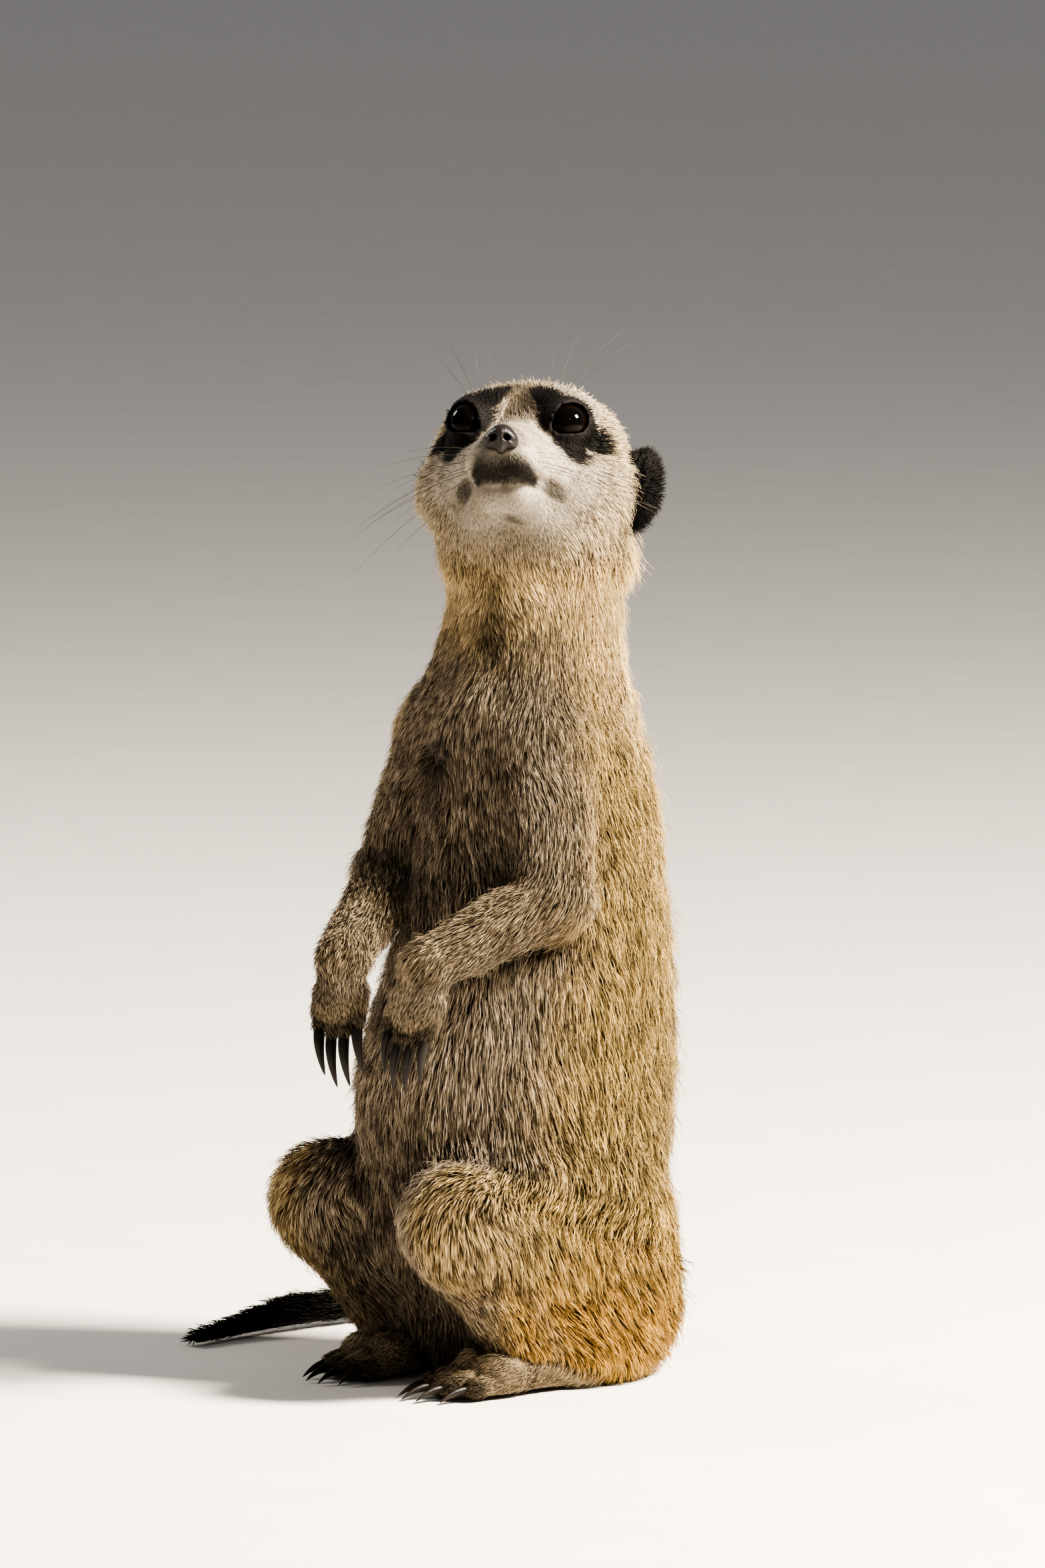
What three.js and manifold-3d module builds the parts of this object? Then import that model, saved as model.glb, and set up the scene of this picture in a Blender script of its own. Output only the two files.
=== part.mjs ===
// A meerkat sitting upright on its haunches, life size: trunk straight up, head turned to its left and
// raised, forearms held out with the hands hanging, hind feet flat, tail curled round on its right.
//
// Millimetres, +Z up. The pelvis faces -Y and the animal's left side is +X. The origin is on the floor,
// in the flat that the animal sits on. The flesh is one blended form, drawn out to the tips of the coat,
// and thin cuts part it into named pieces. Eyes, nose and claws are pieces of their own.
import * as THREE from 'three';
import { mergeVertices } from 'three/addons/utils/BufferGeometryUtils.js';
import Module from 'manifold-3d';

const wasm = await Module();
wasm.setup();

// ---- Driving dimensions, in millimetres and degrees

const CUT = 0.7; // width of the cut between two pieces
const SIDES = { left: 1, right: -1 };

const EYE_HEIGHT = 252; // middle of the eyes above the floor
const EYES_FROM_SEAT = { x: 13.4, y: -12.1 };
const HEAD_TURN = 40; // from the pelvis, towards the animal's left
const HEAD_RAISE = 28;
const CHEST_TURN = 11;

// Heights of the cuts across the neck and trunk.
const NECK_TOP = 217;
const NECK_BASE = 192;
const WAIST = 108;
const RUMP_TOP = 58;

const EYE_RADIUS = 5.5;
const EYE_SPACING = 26; // between the middles of the eyes
const EYE_DEPTH = 2.6; // of the eyeballs' middles behind the line between the eyes
const NOSE_REACH = 27; // from the middle of the eyes forward to the tip of the nose
const NOSE_DROP = 15;
const MUZZLE_ROOT = -7; // where the muzzle is parted from the head, along the head's Y
const EAR_LENGTH = 23;
const EAR_WIDTH = 18;
const EAR_THICKNESS = 10;
const EAR_LEAN = 16; // top of the ear tipped back
const EAR_DROP = 7; // below the eyes
// The left ear stands out; the right one is laid back behind the cheek.
const EARS = {
  left: { outward: 28, behind: 29, swing: 16 },
  right: { outward: 24.5, behind: 33, swing: 34 },
};

const DIGITS = 4; // on each hand and each foot
const SHOULDER_RADIUS = 12;
const ELBOW_RADIUS = 8.8;
const WRIST_RADIUS = 6.4;
const HAND_LENGTH = 27; // wrist to fingertips
const PALM_SHARE = 0.55; // of the hand's length
const HAND_FORWARD = 0.3; // slopes of a hanging hand
const HAND_INWARD = 0.15;
const FINGER_SPREAD = 1.15; // spacing of the fingertips to that of the knuckles
const PALM_ROOT = 6; // radii of the two lobes of the palm, and half the distance between them
const PALM_END = 4.8;
const PALM_HALF = 3;
const KNUCKLE_RADIUS = 3;
const FINGER_RADIUS = 2.7;
const FINGER_SPACING = 3.6;
const HAND_CLAW = 14;
const CLAW_ROOT = 1.8; // from a fingertip's or toe's round end to the root of its claw
const HIP_RADIUS = 24;
const HAUNCH_RADIUS = 23;
const HAUNCH_SHARE = 0.4; // of the way from the hip to the knee
const THIGH_END = 14.5;
const KNEE_RADIUS = 13.5;
const ANKLE_RADIUS = 8.5;
const FOOT_LENGTH = 58; // heel to the tips of the toes
const HEEL_RADIUS = 7;
const HEEL_HEIGHT = 6.7;
const BALL_BACK = 17; // from the toes' tips back to the ball of the foot
const SOLE_END = 6.1;
const SOLE_HALF = 4.6;
const TOE_ROOT = 4.5;
const FOOT_TURN = 6; // toes towards the middle
const TOE_RADIUS = 3.5;
const TOE_SPACING = 5.2;
const FOOT_CLAW = 8;
const TOE_LENGTH = 12;
const KNUCKLE_HEIGHT = 5.4;

const TAIL_ROOT = 11; // radii along the tail
const TAIL_MIDDLE = 5.4;
const TAIL_TIP = 2.4;
const TAIL_STEPS = 22;
const TAIL_LIFT = 10; // how far the root lies above the line, falling away within the first lengths
const TAIL_FALL = 12;

// Widths of the fillets where parts of the flesh meet.
const FILLET = { skull: 6, face: 5, fingers: 2.5, toes: 3, haunch: 8, limb: 8, joint: 4 };

// Sections of the trunk and neck, from the floor up: height, middle (x, y), half-width and half-depth.
const TRUNK_SECTIONS = [
  { z: -8, x: 0, y: 6, half: 21, deep: 23 },
  { z: 6, x: 0, y: 6, half: 29, deep: 30.5 },
  { z: 28, x: 0, y: 2.5, half: 34, deep: 36 },
  { z: 52, x: 0, y: -1.5, half: 36.5, deep: 43.5 },
  { z: 78, x: 0, y: -2.5, half: 37, deep: 47.5 },
  { z: 107, x: 0.5, y: 1.5, half: 35.5, deep: 42.5 },
  { z: 135, x: 1, y: 3.5, half: 32.5, deep: 38 },
  { z: 160, x: 1, y: 3.5, half: 29.5, deep: 34.5 },
  { z: 176, x: 1, y: 3, half: 26.5, deep: 31.5 },
  { z: 190, x: 0.5, y: 4.5, half: 24, deep: 26.5 },
  { z: 204, x: 1, y: 4.5, half: 22.6, deep: 24.4 },
  { z: 218, x: 1, y: 4.5, half: 22.4, deep: 24 },
  { z: 232, x: 1, y: 4.5, half: 20, deep: 21 },
];

const JOINTS = {
  left: {
    shoulder: [20, -9, 168], elbow: [33.5, -13, 128], wrist: [25.5, -51, 119.5],
    hip: [17, 3, 34], knee: [27, -43, 46], ankle: [25.5, -23, 15], toes: [20.5, -53, 0],
  },
  right: {
    shoulder: [-16, -13, 168], elbow: [-23, -23, 129], wrist: [-2.3, -56.5, 117.5],
    hip: [-17, 3, 34], knee: [-30, -40, 46], ankle: [-27.5, -25, 15], toes: [-20.5, -53, 0],
  },
};

// The tail's line on the floor, from the rump round to the tip beside the right foot.
const TAIL_LINE = [[0, 32], [-20, 58], [-50, 73], [-79, 64], [-93, 38], [-96, 10], [-94, -20], [-91, -36]];

// ---- Small helpers

const point = (x, y, z) => new THREE.Vector3(x, y, z);
const UP = point(0, 0, 1);
const radians = THREE.MathUtils.degToRad;
const { clamp, lerp, smoothstep } = THREE.MathUtils;
const onBothSides = (make) => Object.values(SIDES).map(make);

// ---- Shapes: functions from a point to its distance from a surface, negative inside

function egg(centre, radii) {
  const near = point(0, 0, 0);
  return (p) => {
    const reach = near.subVectors(p, centre).divide(radii).length();
    const slope = near.divide(radii).length();
    return slope > 0 ? (reach * (reach - 1)) / slope : -Math.min(...radii.toArray());
  };
}

// Flesh round a straight bone, tapering from one end to the other.
function bone(from, to, startRadius, endRadius) {
  const along = to.clone().sub(from);
  const offset = point(0, 0, 0);
  return (p) => {
    const t = clamp(offset.subVectors(p, from).dot(along) / along.lengthSq(), 0, 1);
    return offset.addScaledVector(along, -t).length() - lerp(startRadius, endRadius, t);
  };
}

// An upright column through elliptical sections, turning with height.
function column(sections, turnAt) {
  const heights = sections.map(({ z }) => z);
  const values = sections.flatMap(({ x, y, half, deep }) => [x, y, half, deep]);
  const smooth = new THREE.CubicInterpolant(heights, values, 4);
  const [offset, radii] = [point(0, 0, 0), point(1, 1, 1)];
  const section = egg(point(0, 0, 0), radii);
  return (p) => {
    const z = clamp(p.z, heights[0], heights.at(-1));
    const [x, y, half, deep] = smooth.evaluate(z);
    radii.set(half, deep, 1);
    offset.set(p.x - x, p.y - y, 0).applyAxisAngle(UP, -turnAt(z));
    const side = section(offset);
    return p.z === z ? side : Math.max(side, Math.abs(p.z - z));
  };
}

// Shapes joined with a fillet about as wide as the blend.
const blend = (width, ...shapes) => (p) => shapes.map((shape) => shape(p)).reduce((a, b) => {
  const overlap = Math.max(width - Math.abs(a - b), 0);
  return Math.min(a, b) - (overlap * overlap) / (4 * width);
});

function placed(matrix, shape) {
  const back = matrix.clone().invert();
  const local = point(0, 0, 0);
  return (p) => shape(local.copy(p).applyMatrix4(back));
}

// ---- Cuts: a piece keeps what lies inside all of its cuts

const FAR = 12; // this far outside the flesh, no cut needs to be known

const above = (height) => (p) => height - p.z;
const below = (height) => (p) => p.z - height;
const nearer = (mine, rival) => (p) => (mine(p) - rival(p)) / 2;
const outside = (other, gap = 0) => (p) => gap - other(p);
const union = (shapes) => (p) => Math.min(...shapes.map((shape) => shape(p)));

// A plane through a joint, square to the mean direction of the two bones that meet there.
function jointPlane(from, joint, to) {
  const normal = joint.clone().sub(from).normalize().add(to.clone().sub(joint).normalize()).normalize();
  return new THREE.Plane().setFromNormalAndCoplanarPoint(normal, joint);
}
const before = (plane) => (p) => plane.distanceToPoint(p);
const beyond = (plane) => (p) => -plane.distanceToPoint(p);
function keep(shape, ...cuts) {
  return (p) => {
    const depth = Math.max(shape(p), -p.z);
    return depth > FAR ? depth : Math.max(depth, ...cuts.map((cut) => cut(p) + CUT / 2));
  };
}

// ---- From a shape to a closed mesh: each sheet of surface through a grid cell gets one vertex there

// A cell's corners are numbered by their bits: 1 along X, 2 along Y, 4 along Z.
const AXES = [[1, 0, 0], [0, 1, 0], [0, 0, 1]];
const CORNERS = Array.from({ length: 8 }, (_, i) => [i & 1, (i >> 1) & 1, (i >> 2) & 1]);
const BITS = [1, 2, 4];
const CELL_EDGES = CORNERS.flatMap((_, i) =>
  BITS.filter((bit) => !(i & bit)).map((bit) => [i, i | bit]));
const CELL_FACES = [[1, 2, 4], [2, 4, 1], [4, 1, 2]].flatMap(([a, b, across]) =>
  [0, across].map((start) => [start, start + a, start + a + b, start + b]));
const edgeKey = (a, b) => Math.min(a, b) * 8 + Math.max(a, b);
const PROBE = 0.02;
const ROOT_STEPS = 4;
const SHARPEN_STEPS = 16;
const CELL_EDGE = 0.03; // share of a cell, inside its faces, that its vertices keep clear
const FLOOR_SNAP = 0.3; // vertices this close to the floor are put on it

function normalOf(shape, p) {
  const slopes = AXES.map((axis) => {
    const step = point(...axis).multiplyScalar(PROBE);
    return shape(p.clone().add(step)) - shape(p.clone().sub(step));
  });
  return point(...slopes).normalize();
}

// The place between an inside point and an outside one where the surface lies.
function crossing(shape, inside, outer) {
  let [low, high] = [inside, outer];
  for (let i = 0; i < ROOT_STEPS; i++) {
    const middle = low.clone().lerp(high, 0.5);
    if (shape(middle) < 0) low = middle;
    else high = middle;
  }
  const [a, b] = [shape(low), shape(high)];
  return low.clone().lerp(high, a / (a - b));
}

// The mean of a cell's crossings, moved to where their tangent planes meet, so that cuts keep sharp edges,
// but not out of the cell.
function cellVertex(shape, crossings, lowest, highest) {
  const mean = crossings.reduce((sum, c) => sum.add(c), point(0, 0, 0)).divideScalar(crossings.length);
  const normals = crossings.map((c) => normalOf(shape, c));
  const vertex = mean.clone();
  for (let i = 0; i < SHARPEN_STEPS; i++) {
    const shift = point(0, 0, 0);
    crossings.forEach((c, k) => {
      shift.addScaledVector(normals[k], normals[k].dot(c.clone().sub(vertex)));
    });
    vertex.addScaledVector(shift, 1 / crossings.length);
  }
  vertex.clamp(lowest.clone().lerp(highest, CELL_EDGE), highest.clone().lerp(lowest, CELL_EDGE));
  if (vertex.z < FLOOR_SNAP) vertex.z = 0;
  return vertex;
}

function wrapped(open, box, cell) {
  const middle = box.getCenter(point(0, 0, 0));
  const limit = box.getSize(point(0, 0, 0)).divideScalar(2).subScalar(cell);
  const past = (p, axis) => Math.abs(p[axis] - middle[axis]) - limit[axis];
  const shape = (p) => Math.max(open(p), past(p, 'x'), past(p, 'y'), past(p, 'z'));
  const [nx, ny, nz] = box.getSize(point(0, 0, 0)).toArray().map((side) => Math.ceil(side / cell) + 1);
  const corner = (i, j, k) => point(i, j, k).multiplyScalar(cell).add(box.min);
  const index = (i, j, k) => i + nx * (j + ny * k);
  const depths = new Float64Array(nx * ny * nz);
  const cells = [];
  for (let k = 0; k < nz; k++)
    for (let j = 0; j < ny; j++)
      for (let i = 0; i < nx; i++) {
        depths[index(i, j, k)] = shape(corner(i, j, k));
        cells.push([i, j, k]);
      }

  const vertices = [];
  const vertexAt = new Map(); // from a cell and one of its edges to the vertex of the sheet that crosses it
  for (const [i, j, k] of cells.filter((c) => c[0] < nx - 1 && c[1] < ny - 1 && c[2] < nz - 1)) {
    const inside = CORNERS.map(([a, b, c]) => depths[index(i + a, j + b, k + c)] < 0);
    if (inside.every((value) => value === inside[0])) continue;
    const places = CORNERS.map(([a, b, c]) => corner(i + a, j + b, k + c));
    for (const sheet of sheetsThrough(inside)) {
      const crossings = sheet.map(([a, b]) =>
        (inside[a] ? crossing(shape, places[a], places[b]) : crossing(shape, places[b], places[a])));
      sheet.forEach(([a, b]) => vertexAt.set(index(i, j, k) * 64 + edgeKey(a, b), vertices.length));
      vertices.push(cellVertex(shape, crossings, places[0], places[7]));
    }
  }

  const triangles = [];
  for (const [i, j, k] of cells.filter((c) => c.every((n) => n > 0)))
    AXES.forEach(([di, dj, dk], axis) => {
      if (i + di >= nx || j + dj >= ny || k + dk >= nz) return;
      const inside = depths[index(i, j, k)] < 0;
      if (inside === depths[index(i + di, j + dj, k + dk)] < 0) return;
      const [u, v] = [AXES[(axis + 1) % 3], AXES[(axis + 2) % 3]];
      const ring = [[0, 0], [1, 0], [1, 1], [0, 1]].map(([s, t]) => {
        const back = u.map((n, m) => s * n + t * v[m]);
        const start = back[0] + 2 * back[1] + 4 * back[2];
        const key = edgeKey(start, start + 2 ** axis);
        return vertexAt.get(index(i - back[0], j - back[1], k - back[2]) * 64 + key);
      });
      if (!inside) ring.reverse();
      const [a, b, c, d] = ring;
      const split = vertices[a].distanceTo(vertices[c]) < vertices[b].distanceTo(vertices[d]);
      triangles.push(...(split ? [a, b, c, a, c, d] : [a, b, d, b, c, d]));
    });
  const geometry = new THREE.BufferGeometry();
  const places = vertices.flatMap((v) => v.toArray());
  geometry.setAttribute('position', new THREE.Float32BufferAttribute(places, 3));
  geometry.setIndex(largestBody(triangles));
  return geometry;
}

// Groups of linked keys: join(a, b) links two, and groupOf(a) names a's group.
function grouping() {
  const lead = new Map();
  const groupOf = (key) => {
    let found = key;
    while (lead.has(found)) found = lead.get(found);
    return found;
  };
  const join = (a, b) => {
    const [first, second] = [groupOf(a), groupOf(b)];
    if (first !== second) lead.set(second, first);
  };
  return { join, groupOf };
}

// The crossed edges of a cell, sorted into separate sheets. On a face that is crossed at all four of its
// edges, the surface goes round each inside corner.
function sheetsThrough(inside) {
  const { join, groupOf } = grouping();
  for (const face of CELL_FACES) {
    const edges = face.map((a, i) => [a, face[(i + 1) % 4]]);
    const crossed = edges.filter(([a, b]) => inside[a] !== inside[b]).map(([a, b]) => edgeKey(a, b));
    if (crossed.length === 2) join(...crossed);
    if (crossed.length === 4)
      face.forEach((a, i) => {
        if (inside[a]) join(edgeKey(face[(i + 3) % 4], a), edgeKey(a, face[(i + 1) % 4]));
      });
  }
  const sheets = new Map();
  for (const [a, b] of CELL_EDGES.filter(([c, d]) => inside[c] !== inside[d])) {
    const group = groupOf(edgeKey(a, b));
    sheets.set(group, [...(sheets.get(group) ?? []), [a, b]]);
  }
  return sheets.values();
}

// The triangles of the largest connected body, without the crumbs that a cut leaves.
function largestBody(triangles) {
  const { join, groupOf } = grouping();
  for (let i = 0; i < triangles.length; i += 3) {
    join(triangles[i], triangles[i + 1]);
    join(triangles[i], triangles[i + 2]);
  }
  const sizes = new Map();
  triangles.forEach((v) => sizes.set(groupOf(v), (sizes.get(groupOf(v)) ?? 0) + 1));
  const [largest] = [...sizes].reduce((a, b) => (b[1] > a[1] ? b : a));
  return triangles.filter((v) => groupOf(v) === largest);
}

// ---- Booleans between closed meshes

function solidOf(geometry) {
  const bare = geometry.clone();
  bare.deleteAttribute('normal');
  bare.deleteAttribute('uv');
  const merged = mergeVertices(bare);
  return new wasm.Manifold(new wasm.Mesh({
    numProp: 3,
    vertProperties: merged.attributes.position.array,
    triVerts: new Uint32Array(merged.index.array),
  }));
}

function without(geometry, ...tools) {
  const solid = tools.reduce((left, tool) => left.subtract(solidOf(tool)), solidOf(geometry));
  const mesh = solid.getMesh();
  const cut = new THREE.BufferGeometry();
  cut.setAttribute('position', new THREE.BufferAttribute(mesh.vertProperties, 3));
  cut.setIndex(new THREE.BufferAttribute(mesh.triVerts, 1));
  return cut;
}

// ---- Materials, and the group that holds every piece

const finish = (color, roughness) => new THREE.MeshStandardMaterial({ color, roughness, metalness: 0 });
const MATERIALS = {
  cream: finish(0xc9b795, 0.9),
  grizzled: finish(0x8f7a58, 0.9),
  golden: finish(0xa98450, 0.9),
  brown: finish(0x6b5136, 0.9),
  black: finish(0x17120f, 0.9),
  nose: finish(0x1f1512, 0.45),
  eye: finish(0x0a0605, 0.05),
  claw: finish(0x1b1613, 0.35),
};
const meerkat = new THREE.Group();

function add(name, geometry, material) {
  geometry.computeVertexNormals();
  const mesh = new THREE.Mesh(geometry, material);
  mesh.name = name;
  meerkat.add(mesh);
}

const boxRound = (margin, ...points) => new THREE.Box3().setFromPoints(points).expandByScalar(margin);

// ---- Trunk and neck

const TWIST = { from: 70, to: 150 }; // heights between which the trunk turns
const trunk = column(TRUNK_SECTIONS, (z) => radians(CHEST_TURN) * smoothstep(z, TWIST.from, TWIST.to));

// ---- Head. Its frame starts midway between the eyes: +X to its left, -Y forward, +Z up.

const headFrame = new THREE.Matrix4()
  .makeRotationZ(radians(HEAD_TURN))
  .multiply(new THREE.Matrix4().makeRotationX(radians(-HEAD_RAISE)))
  .setPosition(EYES_FROM_SEAT.x, EYES_FROM_SEAT.y, EYE_HEIGHT);

const braincase = egg(point(0, 23.5, -2.5), point(26.5, 25.5, 21.5));
const cheeks = onBothSides((side) => egg(point(side * 11.5, 17, -13.5), point(16.5, 17, 14)));
const brows = onBothSides((side) => egg(point(side * 9.5, 8, 3), point(8, 8.5, 6)));
const bridge = bone(point(0, 6, -9), point(0, -19, -15.5), 11.5, 5.6);
const upperLip = egg(point(0, -14.5, -18.6), point(8, 7.5, 5.4));
const chin = bone(point(0, 12, -22), point(0, -11.5, -25), 9.5, 4.6);
const throat = egg(point(0, 16, -20), point(17, 17, 11.5));
const skull = blend(FILLET.skull, braincase, ...cheeks, ...brows, throat);
const head = placed(headFrame, blend(FILLET.face, skull, bridge, upperLip, chin));
const snout = placed(headFrame, (p) => p.y - MUZZLE_ROOT);

const earPlace = ({ outward, behind, swing }, sign) => new THREE.Matrix4()
  .makeRotationZ(radians(sign * swing))
  .multiply(new THREE.Matrix4().makeRotationX(radians(-EAR_LEAN)))
  .setPosition(sign * outward, behind, -EAR_DROP)
  .premultiply(headFrame);
const pinna = egg(point(0, 0, 0), point(EAR_THICKNESS, EAR_WIDTH, EAR_LENGTH).divideScalar(2));

// ---- Limbs

// Places of the digits across a hand or foot, from its middle outwards.
const DIGIT_PLACES = Array.from({ length: DIGITS }, (_, i) => i - (DIGITS - 1) / 2);
const FINGER_STEP = 1.2; // how much shorter the outer digits are
const TOE_STEP = 1.6;
const TOE_SLANT = 0.8;
const TOE_FLAT = 0.3; // cut off a toe by the floor, so that it rests on a small flat

// A hand hangs from its wrist, with its palm turned back towards the belly.
function handPlan(side, wrist) {
  const turn = radians(CHEST_TURN);
  const forward = point(Math.sin(turn), -Math.cos(turn), 0);
  const outward = point(Math.cos(turn), Math.sin(turn), 0).multiplyScalar(SIDES[side]);
  const down = point(0, 0, -1)
    .addScaledVector(forward, HAND_FORWARD)
    .addScaledVector(outward, -HAND_INWARD)
    .normalize();
  const across = outward.clone().addScaledVector(down, -outward.dot(down)).normalize();
  const back = forward.addScaledVector(down, -forward.dot(down)).normalize();
  const curl = back.clone().negate();
  const digits = DIGIT_PLACES.map((place) => {
    const reach = HAND_LENGTH - FINGER_RADIUS - FINGER_STEP * place * place;
    const aside = place * FINGER_SPACING;
    const from = wrist.clone().addScaledVector(down, reach * PALM_SHARE).addScaledVector(across, aside);
    const to = wrist.clone().addScaledVector(down, reach).addScaledVector(across, aside * FINGER_SPREAD);
    return { from, to, point: down, curl, length: HAND_CLAW - Math.abs(place) };
  });
  return { down, across, digits };
}

function footPlan(side, toes) {
  const turn = radians(FOOT_TURN) * SIDES[side];
  const forward = point(-Math.sin(turn), -Math.cos(turn), 0);
  const outward = point(Math.cos(turn), -Math.sin(turn), 0).multiplyScalar(SIDES[side]);
  const curl = UP.clone().negate();
  const digits = DIGIT_PLACES.map((place) => {
    const back = TOE_STEP * place * place + TOE_SLANT * place;
    const tip = toes.clone()
      .addScaledVector(forward, -back - TOE_RADIUS)
      .addScaledVector(outward, place * TOE_SPACING);
    const from = tip.clone()
      .addScaledVector(forward, -TOE_LENGTH)
      .addScaledVector(outward, -place * TOE_SLANT)
      .setZ(KNUCKLE_HEIGHT);
    return { from, to: tip.setZ(TOE_RADIUS - TOE_FLAT), point: forward, curl, length: FOOT_CLAW };
  });
  return { forward, outward, digits };
}

function limbsOf(side) {
  const places = Object.entries(JOINTS[side]).map(([name, place]) => [name, point(...place)]);
  const at = Object.fromEntries(places);
  const hand = handPlan(side, at.wrist);
  const foot = footPlan(side, at.toes);
  at.heel = at.toes.clone().addScaledVector(foot.forward, HEEL_RADIUS - FOOT_LENGTH).setZ(HEEL_HEIGHT);
  at.fingertip = at.wrist.clone().addScaledVector(hand.down, HAND_LENGTH);
  const knuckles = at.wrist.clone().addScaledVector(hand.down, HAND_LENGTH * PALM_SHARE);
  const palm = [-PALM_HALF, PALM_HALF].map((aside) =>
    bone(at.wrist, knuckles.clone().addScaledVector(hand.across, aside), PALM_ROOT, PALM_END));
  const ball = at.toes.clone().addScaledVector(foot.forward, -BALL_BACK).setZ(SOLE_END);
  const sole = [-SOLE_HALF, SOLE_HALF].map((aside) =>
    bone(at.heel, ball.clone().addScaledVector(foot.outward, aside), HEEL_RADIUS, SOLE_END));
  const fingers = hand.digits.map(({ from, to }) => bone(from, to, KNUCKLE_RADIUS, FINGER_RADIUS));
  const toes = foot.digits.map(({ from, to }) => bone(from, to, TOE_ROOT, TOE_RADIUS));
  const haunch = at.hip.clone().lerp(at.knee, HAUNCH_SHARE);
  return {
    at, hand, foot,
    shapes: {
      upper_arm: bone(at.shoulder, at.elbow, SHOULDER_RADIUS, ELBOW_RADIUS),
      forearm: bone(at.elbow, at.wrist, ELBOW_RADIUS, WRIST_RADIUS),
      hand: blend(FILLET.fingers, ...palm, ...fingers),
      thigh: blend(FILLET.haunch, bone(at.hip, at.knee, HIP_RADIUS, THIGH_END),
        bone(at.hip, haunch, HIP_RADIUS, HAUNCH_RADIUS)),
      shank: bone(at.knee, at.ankle, KNEE_RADIUS, ANKLE_RADIUS),
      foot: blend(FILLET.toes, ...sole, ...toes),
    },
  };
}
const limbs = Object.fromEntries(Object.keys(SIDES).map((side) => [side, limbsOf(side)]));
const everyLimb = (name) => Object.values(limbs).map(({ shapes }) => shapes[name]);

// ---- Tail: a row of short bones along a line on the floor

const TAIL_PIECES = [
  { name: 'tail_base', from: 0, to: 0.36, cell: 7, material: 'golden' },
  { name: 'tail_middle', from: 0.36, to: 0.77, cell: 5.8, material: 'golden' },
  { name: 'tail_tip', from: 0.77, to: 1, cell: 4.4, material: 'black' },
];
const TAIL_FLAT = 0.93; // share of its radius that the tail's middle lies above the floor
const tailBody = (t) => lerp(TAIL_ROOT, TAIL_MIDDLE, smoothstep(t, 0, 0.6));
const tailRadius = (t) => lerp(tailBody(t), TAIL_TIP, smoothstep(t, 0.8, 1));
const tailLine = new THREE.CatmullRomCurve3(TAIL_LINE.map(([x, y]) => point(x, y, 0)));
const tailStops = Array.from({ length: TAIL_STEPS + 1 }, (_, i) => i / TAIL_STEPS);
const tailHeight = (t) => tailRadius(t) * TAIL_FLAT + TAIL_LIFT * Math.exp(-TAIL_FALL * t);
const tailPoint = (t) => tailLine.getPointAt(t).setZ(tailHeight(t));
const tailBones = tailStops.slice(1).map((t, i) =>
  bone(tailPoint(tailStops[i]), tailPoint(t), tailRadius(tailStops[i]), tailRadius(t)));
const tail = union(tailBones);

// ---- The whole flesh, and the territory of each part: what is nearer to it than to any other

const arms = blend(FILLET.limb, trunk, ...everyLimb('upper_arm'));
const seated = blend(FILLET.limb, arms, ...everyLimb('thigh'));
const lowerLimbs = ['forearm', 'hand', 'shank', 'foot'].flatMap(everyLimb);
const limbed = blend(FILLET.joint, seated, ...lowerLimbs);
const flesh = blend(FILLET.limb, limbed, head, tail);

const FACET_ROOM = 0.1; // share of a cell kept free on each side of a curved cut, for its facets
const owners = { trunk, tail };
for (const [side, { shapes }] of Object.entries(limbs)) {
  owners[`arm_${side}`] = union([shapes.upper_arm, shapes.forearm, shapes.hand]);
  owners[`leg_${side}`] = union([shapes.thigh, shapes.shank, shapes.foot]);
}
function territory(owner, cell) {
  const rivals = union(Object.values(owners).filter((other) => other !== owners[owner]));
  const own = nearer(owners[owner], rivals);
  return (p) => own(p) + FACET_ROOM * cell;
}

// ---- Pieces of the trunk, neck and head

const TRUNK_PIECES = [
  { name: 'rump', from: -CUT, to: RUMP_TOP, cell: 9, material: 'golden' },
  { name: 'belly', from: RUMP_TOP, to: WAIST, cell: 9, material: 'brown' },
  { name: 'chest', from: WAIST, to: NECK_BASE, cell: 8.8, material: 'grizzled' },
  { name: 'neck', from: NECK_BASE, to: NECK_TOP, cell: 7, material: 'cream' },
];
const BOX_MARGIN = 20;
for (const { name, from, to, cell, material } of TRUNK_PIECES) {
  const box = new THREE.Box3(point(-60, -70, from - BOX_MARGIN), point(60, 70, to + BOX_MARGIN));
  const piece = keep(flesh, above(from), below(to), territory('trunk', cell));
  add(name, wrapped(piece, box, cell), MATERIALS[material]);
}

const HEAD_CELL = 5.2;
const MUZZLE_CELL = 3.3;
const EAR_CELL = 3.5;
const NOSE_CELL = 1.9;
const EYE_SEGMENTS = { around: 12, high: 8 };
const headBox = new THREE.Box3(point(-44, -58, NECK_TOP - 12), point(60, 46, 280));
const eyeSphere = (side, radius) => new THREE.SphereGeometry(radius, EYE_SEGMENTS.around, EYE_SEGMENTS.high)
  .translate((side * EYE_SPACING) / 2, EYE_DEPTH, 0).applyMatrix4(headFrame);
const sockets = onBothSides((side) => eyeSphere(side, EYE_RADIUS + CUT));
const wholeHead = wrapped(keep(flesh, above(NECK_TOP), outside(snout)), headBox, HEAD_CELL);
add('head', without(wholeHead, ...sockets), MATERIALS.cream);
add('muzzle', wrapped(keep(flesh, snout), headBox, MUZZLE_CELL), MATERIALS.cream);

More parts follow.
